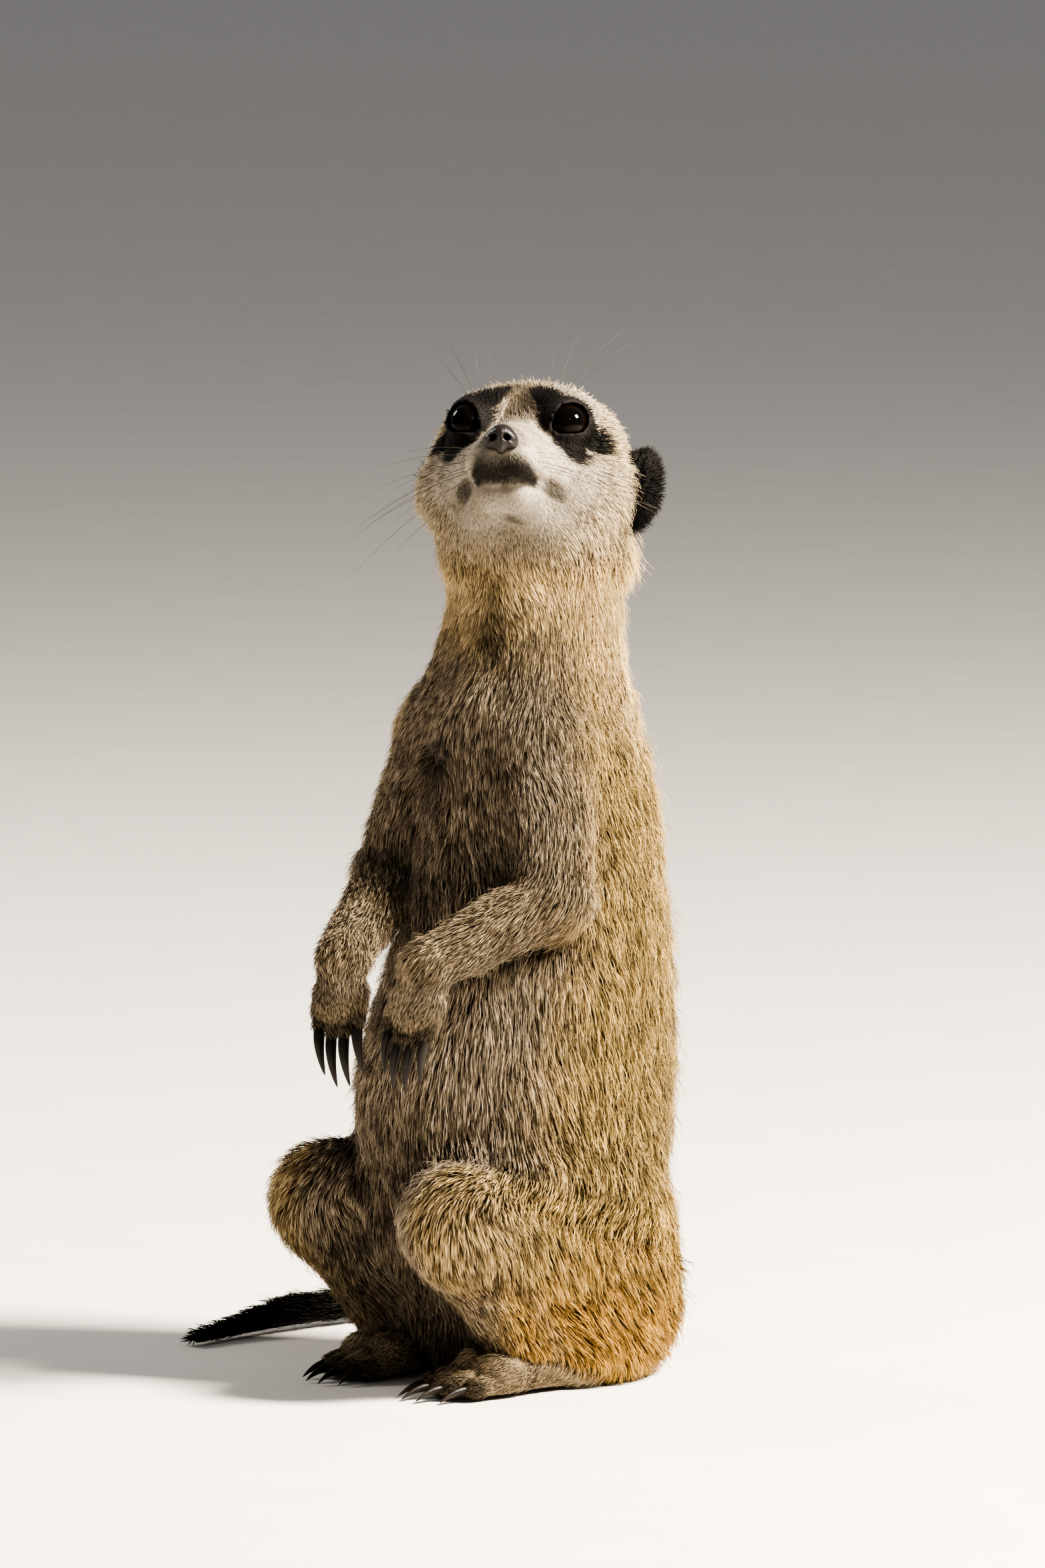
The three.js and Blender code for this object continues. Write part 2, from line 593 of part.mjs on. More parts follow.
const SKIN_GAP = 0.3; // between the flesh and what sits on it
const NOSE_RADII = point(4.7, 3.4, 3.3);
const nosePad = placed(headFrame, egg(point(0, NOSE_RADII.y - NOSE_REACH, -NOSE_DROP), NOSE_RADII));
add('nose', wrapped(keep(nosePad, outside(flesh, SKIN_GAP)), headBox, NOSE_CELL), MATERIALS.nose);
for (const [side, sign] of Object.entries(SIDES)) {
  const ear = placed(earPlace(EARS[side], sign), pinna);
  add(`ear_${side}`, wrapped(keep(ear, outside(flesh, SKIN_GAP)), headBox, EAR_CELL), MATERIALS.black);
  add(`eye_${side}`, eyeSphere(sign, EYE_RADIUS), MATERIALS.eye);
}

// ---- Pieces of the limbs: each lies between the planes through its bone's two joints

const LIMB_PIECES = {
  upper_arm: { limb: 'arm', from: 'shoulder', to: 'elbow', margin: 26, cell: 6, material: 'grizzled' },
  forearm: { limb: 'arm', from: 'elbow', to: 'wrist', margin: 24, cell: 5.2, material: 'grizzled' },
  hand: { limb: 'arm', from: 'wrist', to: 'fingertip', margin: 18, cell: 3.4, material: 'grizzled' },
  thigh: { limb: 'leg', from: 'hip', to: 'knee', margin: 46, cell: 7.2, material: 'golden' },
  shank: { limb: 'leg', from: 'knee', to: 'heel', margin: 32, cell: 6, material: 'brown' },
  foot: { limb: 'leg', from: 'heel', to: 'toes', margin: 22, cell: 4.4, material: 'grizzled' },
};

const CLAW_CURVE = 0.22; // how far the tip is curled, as a share of the claw's length
const CLAW_SIDES = 6;
const CLAW_RINGS = 3;
const clawRadius = (length) => 0.3 + 0.14 * length;

function claw({ to, point: direction, curl, length }, tipRadius) {
  const geometry = new THREE.ConeGeometry(clawRadius(length), length, CLAW_SIDES, CLAW_RINGS);
  geometry.translate(0, length / 2, 0);
  const places = geometry.attributes.position;
  for (let i = 0; i < places.count; i++) {
    const bend = (CLAW_CURVE * places.getY(i) ** 2) / length;
    places.setZ(i, places.getZ(i) - bend);
  }
  const across = curl.clone().cross(direction);
  const frame = new THREE.Matrix4().makeBasis(across, direction, curl.clone().negate());
  const root = to.clone().addScaledVector(direction, tipRadius + CLAW_ROOT);
  return geometry.applyMatrix4(frame.setPosition(root));
}

for (const [side, { at, hand, foot }] of Object.entries(limbs)) {
  const planes = {
    elbow: jointPlane(at.shoulder, at.elbow, at.wrist),
    wrist: jointPlane(at.elbow, at.wrist, at.fingertip),
    knee: jointPlane(at.hip, at.knee, at.ankle),
    heel: jointPlane(at.knee, at.ankle, at.toes),
  };
  for (const [name, { limb, from, to, margin, cell, material }] of Object.entries(LIMB_PIECES)) {
    const cuts = [territory(`${limb}_${side}`, cell)];
    if (planes[from]) cuts.push(beyond(planes[from]));
    if (planes[to]) cuts.push(before(planes[to]));
    const piece = wrapped(keep(flesh, ...cuts), boxRound(margin, at[from], at[to]), cell);
    add(`${name}_${side}`, piece, MATERIALS[material]);
  }
  hand.digits.forEach((digit, i) => {
    add(`claw_hand_${side}_${i + 1}`, claw(digit, FINGER_RADIUS), MATERIALS.claw);
  });
  foot.digits.forEach((digit, i) => {
    add(`claw_foot_${side}_${i + 1}`, claw(digit, TOE_RADIUS), MATERIALS.claw);
  });
}

// ---- Pieces of the tail

const tailPlane = (t) =>
  new THREE.Plane().setFromNormalAndCoplanarPoint(tailLine.getTangentAt(t), tailPoint(t));
const TAIL_MARGIN = 28;
for (const { name, from, to, cell, material } of TAIL_PIECES) {
  const stops = tailStops.filter((t) => t >= from && t <= to).map(tailPoint);
  const cuts = [territory('tail', cell)];
  if (from > 0) cuts.push(beyond(tailPlane(from)));
  if (to < 1) cuts.push(before(tailPlane(to)));
  add(name, wrapped(keep(flesh, ...cuts), boxRound(TAIL_MARGIN, ...stops), cell), MATERIALS[material]);
}

export default meerkat;
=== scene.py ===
"""A meerkat sitting upright, life size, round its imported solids: one skin over the whole body, a coat of
solid hair tufts, eyes, nose, claws and whiskers. Arrays hold millimetres; Blender's objects hold metres."""

import math

import bpy
import numpy as np
import openvdb
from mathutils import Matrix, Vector
from mathutils.kdtree import KDTree


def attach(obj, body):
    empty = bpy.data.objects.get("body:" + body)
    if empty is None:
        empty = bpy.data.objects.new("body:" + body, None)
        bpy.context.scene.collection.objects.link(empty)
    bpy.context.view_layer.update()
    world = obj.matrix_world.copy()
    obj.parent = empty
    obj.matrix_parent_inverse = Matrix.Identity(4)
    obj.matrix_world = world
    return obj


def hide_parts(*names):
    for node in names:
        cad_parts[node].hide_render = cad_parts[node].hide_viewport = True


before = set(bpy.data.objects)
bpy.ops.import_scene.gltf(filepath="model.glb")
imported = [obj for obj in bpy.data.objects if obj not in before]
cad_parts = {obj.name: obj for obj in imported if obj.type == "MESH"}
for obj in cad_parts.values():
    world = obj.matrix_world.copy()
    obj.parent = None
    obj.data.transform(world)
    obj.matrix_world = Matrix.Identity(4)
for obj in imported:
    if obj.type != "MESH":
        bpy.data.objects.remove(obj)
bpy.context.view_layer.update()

MM = 0.001
SIDES = {"left": 1.0, "right": -1.0}
UP = np.array([0.0, 0.0, 1.0])
REARWARD = np.array([0.0, 1.0, 0.0])
rng = np.random.default_rng(11)


# ---- Small helpers on arrays of points

def unit(v):
    return v / np.maximum(np.linalg.norm(v, axis=-1, keepdims=True), 1e-9)


def smoothstep(x, low, high):
    t = np.clip((x - low) / (high - low), 0.0, 1.0)
    return t * t * (3.0 - 2.0 * t)


def offset_from(p, start, end):
    """Offsets of places from the nearest point of the line between two others."""
    along = end - start
    share = np.clip((p - start) @ along / (along @ along), 0, 1)
    return p - start - share[:, None] * along


def spot(p, centre, radii=(1, 1, 1)):
    """How far places lie from a centre, in shares of the radii."""
    return np.linalg.norm((p - np.array(centre)) / radii, axis=1)


def turn_z(degrees):
    c, s = math.cos(math.radians(degrees)), math.sin(math.radians(degrees))
    return np.array([[c, -s, 0.0], [s, c, 0.0], [0.0, 0.0, 1.0]])


def turn_x(degrees):
    c, s = math.cos(math.radians(degrees)), math.sin(math.radians(degrees))
    return np.array([[1.0, 0.0, 0.0], [0.0, c, -s], [0.0, s, c]])


def lattice_noise(p, size, seed):
    """Smooth noise from -1 to 1 whose lumps are about the given size."""
    q = p / size
    cell = np.floor(q).astype(np.int64)
    t = q - cell
    t = t * t * (3.0 - 2.0 * t)
    total = np.zeros(len(p))
    for corner in range(8):
        bits = np.array([corner & 1, corner >> 1 & 1, corner >> 2 & 1])
        c = cell + bits
        h = (c[:, 0] * 73856093) ^ (c[:, 1] * 19349663) ^ (c[:, 2] * 83492791) ^ (seed * 2654435761)
        h = (h ^ (h >> 13)) * 1274126177 & 0xFFFFFF
        weight = np.prod(np.where(bits, t, 1.0 - t), axis=1)
        total += weight * (h / 0x7FFFFF - 1.0)
    return total


# ---- Shapes: functions from points to their distance from a surface, negative inside

OUT_OF_REACH = 40.0


def egg(p, centre, radii):
    q = (p - np.array(centre)) / np.array(radii)
    reach = np.sqrt((q * q).sum(1))
    slope = np.sqrt(((q / np.array(radii)) ** 2).sum(1))
    return reach * (reach - 1.0) / np.maximum(slope, 1e-6)


def bone(p, start, end, start_radius, end_radius):
    start, along = np.array(start), np.array(end) - np.array(start)
    offset = p - start
    t = np.clip(offset @ along / (along @ along), 0.0, 1.0)
    distance = np.linalg.norm(offset - t[:, None] * along, axis=1)
    return distance - start_radius - t * (end_radius - start_radius)


def blend(width, *fields):
    """Shapes joined with a fillet about as wide as the width."""
    joined = fields[0]
    for field in fields[1:]:
        overlap = np.maximum(width - np.abs(joined - field), 0.0)
        joined = np.minimum(joined, field) - overlap * overlap / (4.0 * width)
    return joined


def nearby(p, places, reach, shape):
    """The shape's field within reach of the places, and a large distance elsewhere."""
    low, high = np.min(places, axis=0) - reach, np.max(places, axis=0) + reach
    hit = ((p > low) & (p < high)).all(axis=1)
    field = np.full(len(p), OUT_OF_REACH)
    if hit.any():
        field[hit] = shape(p[hit])
    return field


def carve(width, field, tool):
    """The tool taken out of the shape, with rims rounded over about the width."""
    return -blend(width, -field, tool)


# ---- Trunk and neck, as in the solids: sections by height, middle (x, y), half-width, half-depth and
# the depth of the coat over the skin

TRUNK_SECTIONS = [
    (-8, 0, 6, 21, 23, 2.5), (6, 0, 6, 29, 30.5, 3.2), (28, 0, 2.5, 34, 36, 4.2),
    (52, 0, -1.5, 36.5, 43.5, 4.6), (78, 0, -2.5, 37, 47.5, 4.4), (107, 0.5, 1.5, 35.5, 42.5, 4.2),
    (135, 1, 3.5, 32.5, 38, 4.2), (160, 1, 3.5, 29.5, 34.5, 4.2), (176, 1, 3, 26.5, 31.5, 4.2),
    (190, 0.5, 4.5, 24, 26.5, 3.6), (204, 0.6, 4.3, 24.4, 25.6, 3.6), (218, 0.4, 4.2, 25.2, 26, 3.6),
    (232, 0.8, 4.5, 23.5, 24, 3.6),
]
CHEST_TURN = 11.0
TWIST = (70.0, 150.0)


def smooth_rows(rows):
    """Rows that start with a height, drawn out by cubic curves to a row each millimetre."""
    rows = np.array(rows, float)
    z = rows[:, 0]
    slopes = np.gradient(rows, z, axis=0)
    dense = np.arange(z[0], z[-1] + 1.0)
    i = np.clip(np.searchsorted(z, dense, side="right") - 1, 0, len(z) - 2)
    h = (z[i + 1] - z[i])[:, None]
    t = (dense - z[i])[:, None] / h
    start, end = (2 * t**3 - 3 * t**2 + 1) * rows[i], (3 * t**2 - 2 * t**3) * rows[i + 1]
    return start + end + h * ((t**3 - 2 * t**2 + t) * slopes[i] + (t**3 - t**2) * slopes[i + 1])


TRUNK_ROWS = smooth_rows(TRUNK_SECTIONS)


def trunk_offset(p):
    """Places across the trunk, turned with the chest, and the section's sizes there."""
    z = np.clip(p[:, 2], TRUNK_SECTIONS[0][0], TRUNK_SECTIONS[-1][0])
    x, y, half, deep, coat = (np.interp(z, TRUNK_ROWS[:, 0], TRUNK_ROWS[:, i]) for i in range(1, 6))
    turn = math.radians(CHEST_TURN) * smoothstep(z, *TWIST)
    dx, dy = p[:, 0] - x, p[:, 1] - y
    across = dx * np.cos(turn) + dy * np.sin(turn)
    back = dy * np.cos(turn) - dx * np.sin(turn)
    return z, across, back, half, deep, coat


def trunk_shape(p):
    z, across, back, half, deep, coat = trunk_offset(p)
    half, deep = half - coat, deep - coat
    reach = np.sqrt((across / half) ** 2 + (back / deep) ** 2)
    slope = np.sqrt((across / half**2) ** 2 + (back / deep**2) ** 2)
    side = reach * (reach - 1.0) / np.maximum(slope, 1e-6)
    return np.where(p[:, 2] == z, side, np.maximum(side, np.abs(p[:, 2] - z)))


# ---- Head. Its frame starts midway between the eyes: +X to its left, -Y forward, +Z up.

EYES_AT = np.array([12.9, -12.6, 250.6])
HEAD_TURN, HEAD_RAISE = 41.5, 28.0
HEAD_AXES = turn_z(HEAD_TURN) @ turn_x(-HEAD_RAISE)
EYE_RADIUS = 5.5
EYE_PLACE = np.array([12.4, 2.8, 0.0])
EYE_OUTWARD, EYE_UPWARD = 30.0, 2.0
LID_GAP, LID_OUTER = 0.15, 1.0  # the lids' inner and outer surfaces, from the eyeball
EARS = {
    "left": {"outward": 29.6, "behind": 28.5, "swing": -12.0},
    "right": {"outward": 22.5, "behind": 33.0, "swing": 30.0},
}
EAR_LEAN, EAR_DROP, EAR_SPLAY = 16.0, 5.6, 0.16


def to_head(p):
    return (p - EYES_AT) @ HEAD_AXES


def from_head(q):
    return np.atleast_2d(q) @ HEAD_AXES.T + EYES_AT


def both(q, shape, centre, size):
    """A shape on the left and its mirror image on the right, as one field each."""
    x, y, z = centre
    return [shape(q, (sign * x, y, z), size) for sign in SIDES.values()]


def eye_axes(sign):
    """Columns: across the eye towards the outer corner, forward out of the eye, up."""
    outward, upward = math.radians(EYE_OUTWARD), math.radians(EYE_UPWARD)
    forward = np.array([sign * math.sin(outward) * math.cos(upward),
                        -math.cos(outward) * math.cos(upward), math.sin(upward)])
    across = unit(np.cross(forward, UP)) * -sign
    return np.stack([across, forward, np.cross(across, forward) * sign * -1.0], axis=1)


def eye_coords(q, sign):
    """Places in front of one eye: outer-corner direction, out of the eye, up."""
    return (q - EYE_PLACE * (sign, 1, 1)) @ eye_axes(sign)


def lid_opening(q, sign):
    """The almond between the lids, with its inner corner drawn out and down."""
    a = eye_coords(q, sign)
    u, v = a[:, 0] - 0.1, a[:, 2]
    v = v - 0.16 * u + 0.022 * u * u * (u < 0)
    wide = np.where(u < 0, 5.0, 4.3)
    rim = np.sqrt(np.maximum(1.0 - (u / wide) ** 2, 0.0))
    tall = np.where(v > 0, 4.5, 4.2) * rim ** 0.75
    almond = np.where(np.abs(u) < wide, np.abs(v) - tall, np.hypot(np.abs(u) - wide, v))
    return np.maximum(almond, 1.0 - a[:, 1])


def ear_axes(side):
    return turn_z(SIDES[side] * EARS[side]["swing"]) @ turn_x(-EAR_LEAN)


def ear_place(side):
    return np.array([SIDES[side] * EARS[side]["outward"], EARS[side]["behind"], -EAR_DROP])


def ear_coords(q, side):
    a = ((q - ear_place(side)) @ ear_axes(side)) * (SIDES[side], 1, 1)
    a[:, 0] -= EAR_SPLAY * a[:, 2]
    return a


def ear_shape(q, side):
    """A shallow cup that opens outwards, with a fold inside."""
    a = ear_coords(q, side)
    shell = egg(a, (-0.6, 0.4, 0), (3.4, 8.0, 9.9))
    bowl = egg(a, (3.1, -1.0, 0.2), (3.9, 6.2, 8.2))
    fold = bone(a, (-0.8, 2.2, -4.5), (-0.6, 1.2, 4.8), 1.2, 0.9)
    tragus = bone(a, (-0.6, -5.0, -6.0), (0.8, -5.6, -2.5), 1.8, 1.2)
    root = bone(a, (-9, -2, -2), (-3.5, -1.5, -2), 8.5, 6.4)
    return blend(2.0, carve(1.2, blend(3.5, shell, root), bowl), fold, tragus)


def head_shape(q):
    braincase = egg(q, (0.8, 23.5, -1.4), (24.8, 23.2, 19.3))
    cheeks = both(q, egg, (11.5, 17, -13.5), (14.2, 14.6, 11.6))
    brows = both(q, egg, (9.8, 6.6, 4.4), (7.4, 6.8, 4.6))
    throat = egg(q, (0, 16, -20), (14, 14, 8.8))
    skull = blend(6, braincase, *cheeks, *brows, throat)
    bridge = bone(q, (0, 6, -8.6), (0, -18.2, -14.6), 10.2, 4.6)
    flares = [bone(q, (s * 9.5, 5, -15), (s * 3.4, -13.5, -17.6), 9.2, 5.0) for s in SIDES.values()]
    pads = both(q, egg, (4.6, -14.0, -18.8), (4.9, 6.6, 4.3))
    chin = [bone(q, (s * 7.5, 12, -21.5), (s * 3.6, -8.2, -25.0), 9.2, 4.0) for s in SIDES.values()]
    upper = blend(5.0, skull, bridge, *flares)
    upper = blend(2.6, upper, *pads)
    face = blend(1.4, upper, blend(5.0, *chin, braincase + 4.0))
    for sign in SIDES.values():
        ball = np.linalg.norm(q - EYE_PLACE * (sign, 1, 1), axis=1)
        hollow = egg(q, (sign * 13.4, -3.6, 0.0), (8.0, 4.0, 7.5))
        face = carve(3.5, face, hollow)
        face = blend(3.2, face, ball - EYE_RADIUS - LID_OUTER)
        face = np.maximum(face, EYE_RADIUS + LID_GAP - ball)
        face = carve(0.5, face, lid_opening(q, sign))
        mouth = bone(q, (0, -17.4, -23.0), (sign * 6.4, -14.6, -22.6), 0.5, 0.55)
        corner = bone(q, (sign * 6.4, -14.6, -22.6), (sign * 11.8, -5.0, -20.6), 0.6, 0.5)
        face = carve(0.8, face, np.minimum(mouth, corner))
    philtrum = bone(q, (0, -22.6, -18.0), (0, -18.6, -22.6), 0.4, 0.4)
    return carve(0.8, face, philtrum)


# ---- Limbs

JOINTS = {
    "left": {
        "shoulder": (20, -9, 168), "elbow": (31.5, -16, 129), "wrist": (24.8, -52, 113.5),
        "hip": (17, 3, 34), "knee": (27, -43, 46), "ankle": (25.5, -23, 15), "toes": (20.5, -47.5, 0),
    },
    "right": {
        "shoulder": (-16, -13, 168), "elbow": (-24, -24, 130), "wrist": (-3, -57.5, 113.5),
        "hip": (-17, 3, 34), "knee": (-30, -40, 46), "ankle": (-27.5, -25, 15), "toes": (-20.5, -47.5, 0),
    },
}
DIGIT_PLACES = (-1.5, -0.5, 0.5, 1.5)
HAND_LENGTH, PALM_SHARE, FINGER_RADIUS, FINGER_SPACING = 22.0, 0.55, 2.7, 3.6
FOOT_LENGTH, FOOT_TURN, TOE_RADIUS, TOE_SPACING, HEEL_RADIUS = 52.5, 6.0, 3.5, 5.2, 7.0
HAND_CLAW, FOOT_CLAW = 10.5, 6.0
HAND_COAT, FOOT_COAT = 0.7, 0.9
HEEL_HEIGHT, KNUCKLE_HEIGHT = 6.7, 5.4


def hand_plan(sign, wrist):
    outward = turn_z(CHEST_TURN) @ np.array([sign, 0.0, 0.0])
    forward = turn_z(CHEST_TURN) @ np.array([0.0, -1.0, 0.0])
    down = unit(-UP + 0.3 * forward - 0.15 * outward)
    across = unit(outward - (outward @ down) * down)
    back = unit(forward - (forward @ down) * down)
    digits = []
    for place in DIGIT_PLACES:
        reach = HAND_LENGTH - FINGER_RADIUS - 1.2 * place * place
        aside = place * FINGER_SPACING * across
        digits.append({
            "from": wrist + reach * PALM_SHARE * down + aside, "to": wrist + reach * down + 1.15 * aside,
            "point": down, "curl": -back, "length": HAND_CLAW - abs(place), "tip_radius": FINGER_RADIUS,
        })
    return down, across, digits


def foot_plan(sign, toes):
    turn = turn_z(-FOOT_TURN * sign)
    forward, outward = turn @ np.array([0.0, -1.0, 0.0]), turn @ np.array([sign, 0.0, 0.0])
    digits = []
    for place in DIGIT_PLACES:
        back = 1.6 * place * place + 0.8 * place
        tip = toes - (back + TOE_RADIUS) * forward + place * TOE_SPACING * outward
        knuckle = tip - 12.0 * forward - 0.8 * place * outward
        digits.append({
            "from": knuckle * (1, 1, 0) + KNUCKLE_HEIGHT * UP,
            "to": tip * (1, 1, 0) + (TOE_RADIUS - 0.3) * UP,
            "point": forward, "curl": -UP, "length": FOOT_CLAW, "tip_radius": TOE_RADIUS,
        })
    return forward, outward, digits


def limb_plan(side):
    sign = SIDES[side]
    at = {name: np.array(place, float) for name, place in JOINTS[side].items()}
    down, across, fingers = hand_plan(sign, at["wrist"])
    forward, outward, toes = foot_plan(sign, at["toes"])
    at["heel"] = (at["toes"] - (FOOT_LENGTH - HEEL_RADIUS) * forward) * (1, 1, 0) + HEEL_HEIGHT * UP
    at["fingertip"] = at["wrist"] + HAND_LENGTH * down
    return {"at": at, "down": down, "across": across, "fingers": fingers,
            "forward": forward, "outward": outward, "toes": toes}


LIMBS = {side: limb_plan(side) for side in SIDES}


def hand_shape(p, limb):
    at, down, across = limb["at"], limb["down"], limb["across"]
    knuckles = at["wrist"] + HAND_LENGTH * PALM_SHARE * down
    palm = [bone(p, at["wrist"], knuckles + s * 3.0 * across, 6.0 - HAND_COAT, 4.8 - HAND_COAT)
            for s in (-1, 1)]
    digits = [bone(p, d["from"], d["to"], 2.6, 1.9) for d in limb["fingers"]]
    knobs = [egg(p, d["from"] * 0.45 + d["to"] * 0.55 - 0.5 * d["curl"], (2.3, 2.3, 2.6))
             for d in limb["fingers"]]
    return blend(1.6, *palm, blend(0.7, *[blend(1.0, a, b) for a, b in zip(digits, knobs)]))


def foot_shape(p, limb):
    at, forward, outward = limb["at"], limb["forward"], limb["outward"]
    ball = (at["toes"] - 17.0 * forward) * (1, 1, 0) + 6.1 * UP
    sole = [bone(p, at["heel"], ball + s * 4.6 * outward, 7.0 - FOOT_COAT, 6.1 - FOOT_COAT)
            for s in (-1, 1)]
    toes = [bone(p, d["from"], d["to"], 3.5, 2.5) for d in limb["toes"]]
    return blend(2.0, *sole, blend(0.7, *toes))


def thigh_shape(p, at):
    haunch = at["hip"] * 0.6 + at["knee"] * 0.4
    seat = egg(p, (at["hip"][0] * 1.32, 2, 20), (14.5, 25, 17))
    return blend(8, bone(p, at["hip"], at["knee"], 20.5, 11.8), bone(p, at["hip"], haunch, 20.5, 19.5), seat)


# Each part of a limb: the joints that it lies between, and how far from them its flesh can reach.
LIMB_PARTS = {
    "upper_arm": ("shoulder", "elbow", 52),
    "forearm": ("elbow", "wrist", 24),
    "hand": ("wrist", "fingertip", 24),
    "thigh": ("hip", "knee", 40),
    "shank": ("knee", "ankle", 30),
    "foot": ("heel", "toes", 24),
}


def limb_shape(p, name, side):
    limb = LIMBS[side]
    at = limb["at"]
    return {
        "upper_arm": lambda: blend(6, bone(p, at["shoulder"], at["elbow"], 11.0, 8.2),
                                   bone(p, at["shoulder"], at["shoulder"] * 0.55 + (0, 2, 110), 9.0, 7.0)),
        "forearm": lambda: bone(p, at["elbow"], at["wrist"], 8.2, 5.7),
        "hand": lambda: hand_shape(p, limb),
        "thigh": lambda: thigh_shape(p, at),
        "shank": lambda: bone(p, at["knee"], at["ankle"], 11.6, 6.6),
        "foot": lambda: foot_shape(p, limb),
    }[name]()


# ---- Tail, along a line on the floor

TAIL_LINE = [(0, 32), (-20, 58), (-50, 73), (-79, 64), (-93, 38), (-96, 10), (-94, -20), (-91, -36)]
TAIL_STEPS = 40
TAIL_COAT = 1.9


def tail_places():
    """Evenly spaced points along a smooth curve through the line, with their radii."""
    line = np.array(TAIL_LINE, float)
    ends = np.vstack([2 * line[0] - line[1], line, 2 * line[-1] - line[-2]])
    t = np.linspace(0, 1, 30, endpoint=False)[:, None]
    curve = [0.5 * (2 * b + (c - a) * t + (2 * a - 5 * b + 4 * c - d) * t**2 + (3 * b - a - 3 * c + d) * t**3)
             for a, b, c, d in zip(ends, ends[1:], ends[2:], ends[3:])]
    curve = np.vstack([*curve, line[-1:]])
    run = np.append(0, np.cumsum(np.linalg.norm(np.diff(curve, axis=0), axis=1)))
    share = np.linspace(0, 1, TAIL_STEPS + 1)
    x, y = (np.interp(share * run[-1], run, curve[:, i]) for i in (0, 1))
    radius = 11.0 + (5.4 - 11.0) * smoothstep(share, 0, 0.6)
    radius = radius + (2.4 - radius) * smoothstep(share, 0.8, 1.0)
    height = radius * 0.93 + 10.0 * np.exp(-12.0 * share)
    return share, np.stack([x, y, height], axis=1), radius


TAIL_SHARE, TAIL_POINTS, TAIL_RADII = tail_places()


def tail_coat(share):
    return TAIL_COAT - 1.1 * smoothstep(share, 0.75, 1.0) + 1.0 * smoothstep(share, 0.25, 0.0)


def tail_shape(p):
    rows = zip(TAIL_POINTS, TAIL_POINTS[1:], TAIL_RADII, TAIL_RADII[1:], TAIL_SHARE)
    field = np.full(len(p), OUT_OF_REACH)
    for a, b, ra, rb, s in rows:
        coat = tail_coat(s)
        step = nearby(p, (a, b), ra + 14, lambda near: bone(near, a, b, ra - coat, rb - coat))
        field = np.minimum(field, step)
    return field


# ---- The whole skin

FLOOR_ROOM = 0.4
KNEE_FILLET, HAUNCH_FILLET = 10.0, 15.0
SHOULDER_FILLET, ELBOW_FILLET, PAW_FILLET = 6.0, 4.0, 2.5
HEAD_FILLET, EAR_FILLET = 9.0, 1.8


def body_parts(p):
    middle = from_head([0, 8, -8])
    parts = {"trunk": trunk_shape(p), "tail": tail_shape(p)}
    parts["head"] = nearby(p, middle, 56, lambda near: head_shape(to_head(near)))
    for side in SIDES:
        at = LIMBS[side]["at"]
        for name, (start, end, reach) in LIMB_PARTS.items():
            parts[f"{name}_{side}"] = nearby(
                p, (at[start], at[end]), reach, lambda near: limb_shape(near, name, side))
        place = from_head(ear_place(side))
        parts[f"ear_{side}"] = nearby(p, place, 26, lambda near: ear_shape(to_head(near), side))
    return parts


def skin_shape(p):
    parts = body_parts(p)

    def both_of(name):
        return [parts[f"{name}_{side}"] for side in SIDES]

    legs = [blend(KNEE_FILLET, *leg) for leg in zip(both_of("thigh"), both_of("shank"))]
    body = blend(SHOULDER_FILLET, parts["trunk"], *both_of("upper_arm"))
    body = blend(HAUNCH_FILLET, body, *legs)
    body = blend(ELBOW_FILLET, body, *both_of("forearm"), parts["tail"])
    body = blend(PAW_FILLET, body, *both_of("hand"), *both_of("foot"))
    body = blend(HEAD_FILLET, body, parts["head"])
    body = blend(EAR_FILLET, body, *both_of("ear"))
    return np.maximum(body, FLOOR_ROOM - p[:, 2])


# ---- From a shape to a mesh

BLOCK = 8
FAR = 9.0
CHUNK = 1 << 18


def evaluated(shape, p):
    return np.concatenate([shape(p[i:i + CHUNK]) for i in range(0, len(p), CHUNK)])


def contour(shape, low, high, voxel, adaptivity=0.0):
    """Vertices and triangles where the shape's field is zero."""
    low = np.array(low, float)
    blocks = np.ceil((np.array(high) - low) / (voxel * BLOCK)).astype(int)
    starts = np.stack(np.meshgrid(*[np.arange(n) for n in blocks], indexing="ij"), -1).reshape(-1, 3)
    centres = low + (starts * BLOCK + (BLOCK - 1) / 2) * voxel
    depth = evaluated(shape, centres)
    values = np.empty((blocks[0], BLOCK, blocks[1], BLOCK, blocks[2], BLOCK), np.float32)
    by_block = values.transpose(0, 2, 4, 1, 3, 5)
    by_block[starts[:, 0], starts[:, 1], starts[:, 2]] = np.where(depth > 0, FAR, -FAR)[:, None, None, None]
    near = starts[np.abs(depth) < voxel * BLOCK * 1.1 + 1.5]
    cell = np.stack(np.meshgrid(*[np.arange(BLOCK)] * 3, indexing="ij"), -1).reshape(-1, 3)
    places = low + (near[:, None, :] * BLOCK + cell[None]) * voxel
    found = evaluated(shape, places.reshape(-1, 3)).reshape(-1, BLOCK, BLOCK, BLOCK)
    by_block[near[:, 0], near[:, 1], near[:, 2]] = found
    grid = openvdb.FloatGrid(FAR)
    grid.copyFromArray(values.reshape(blocks * BLOCK))
    vertices, triangles, quads = grid.convertToPolygons(0.0, adaptivity)
    triangles = np.concatenate([triangles, quads[:, [0, 1, 2]], quads[:, [0, 2, 3]]]).astype(np.int64)
    vertices = vertices.astype(float) * voxel + low
    return largest_shell(vertices, facing_out(vertices, triangles))


def facing_out(vertices, triangles):
    """The triangles of a closed mesh, turned over if they face inwards."""
    offset = vertices - vertices.mean(0)
    a, b, c = (offset[triangles[:, i]] for i in range(3))
    inward = np.einsum("ij,ij->i", a, np.cross(b, c)).sum() < 0
    return triangles[:, ::-1] if inward else triangles


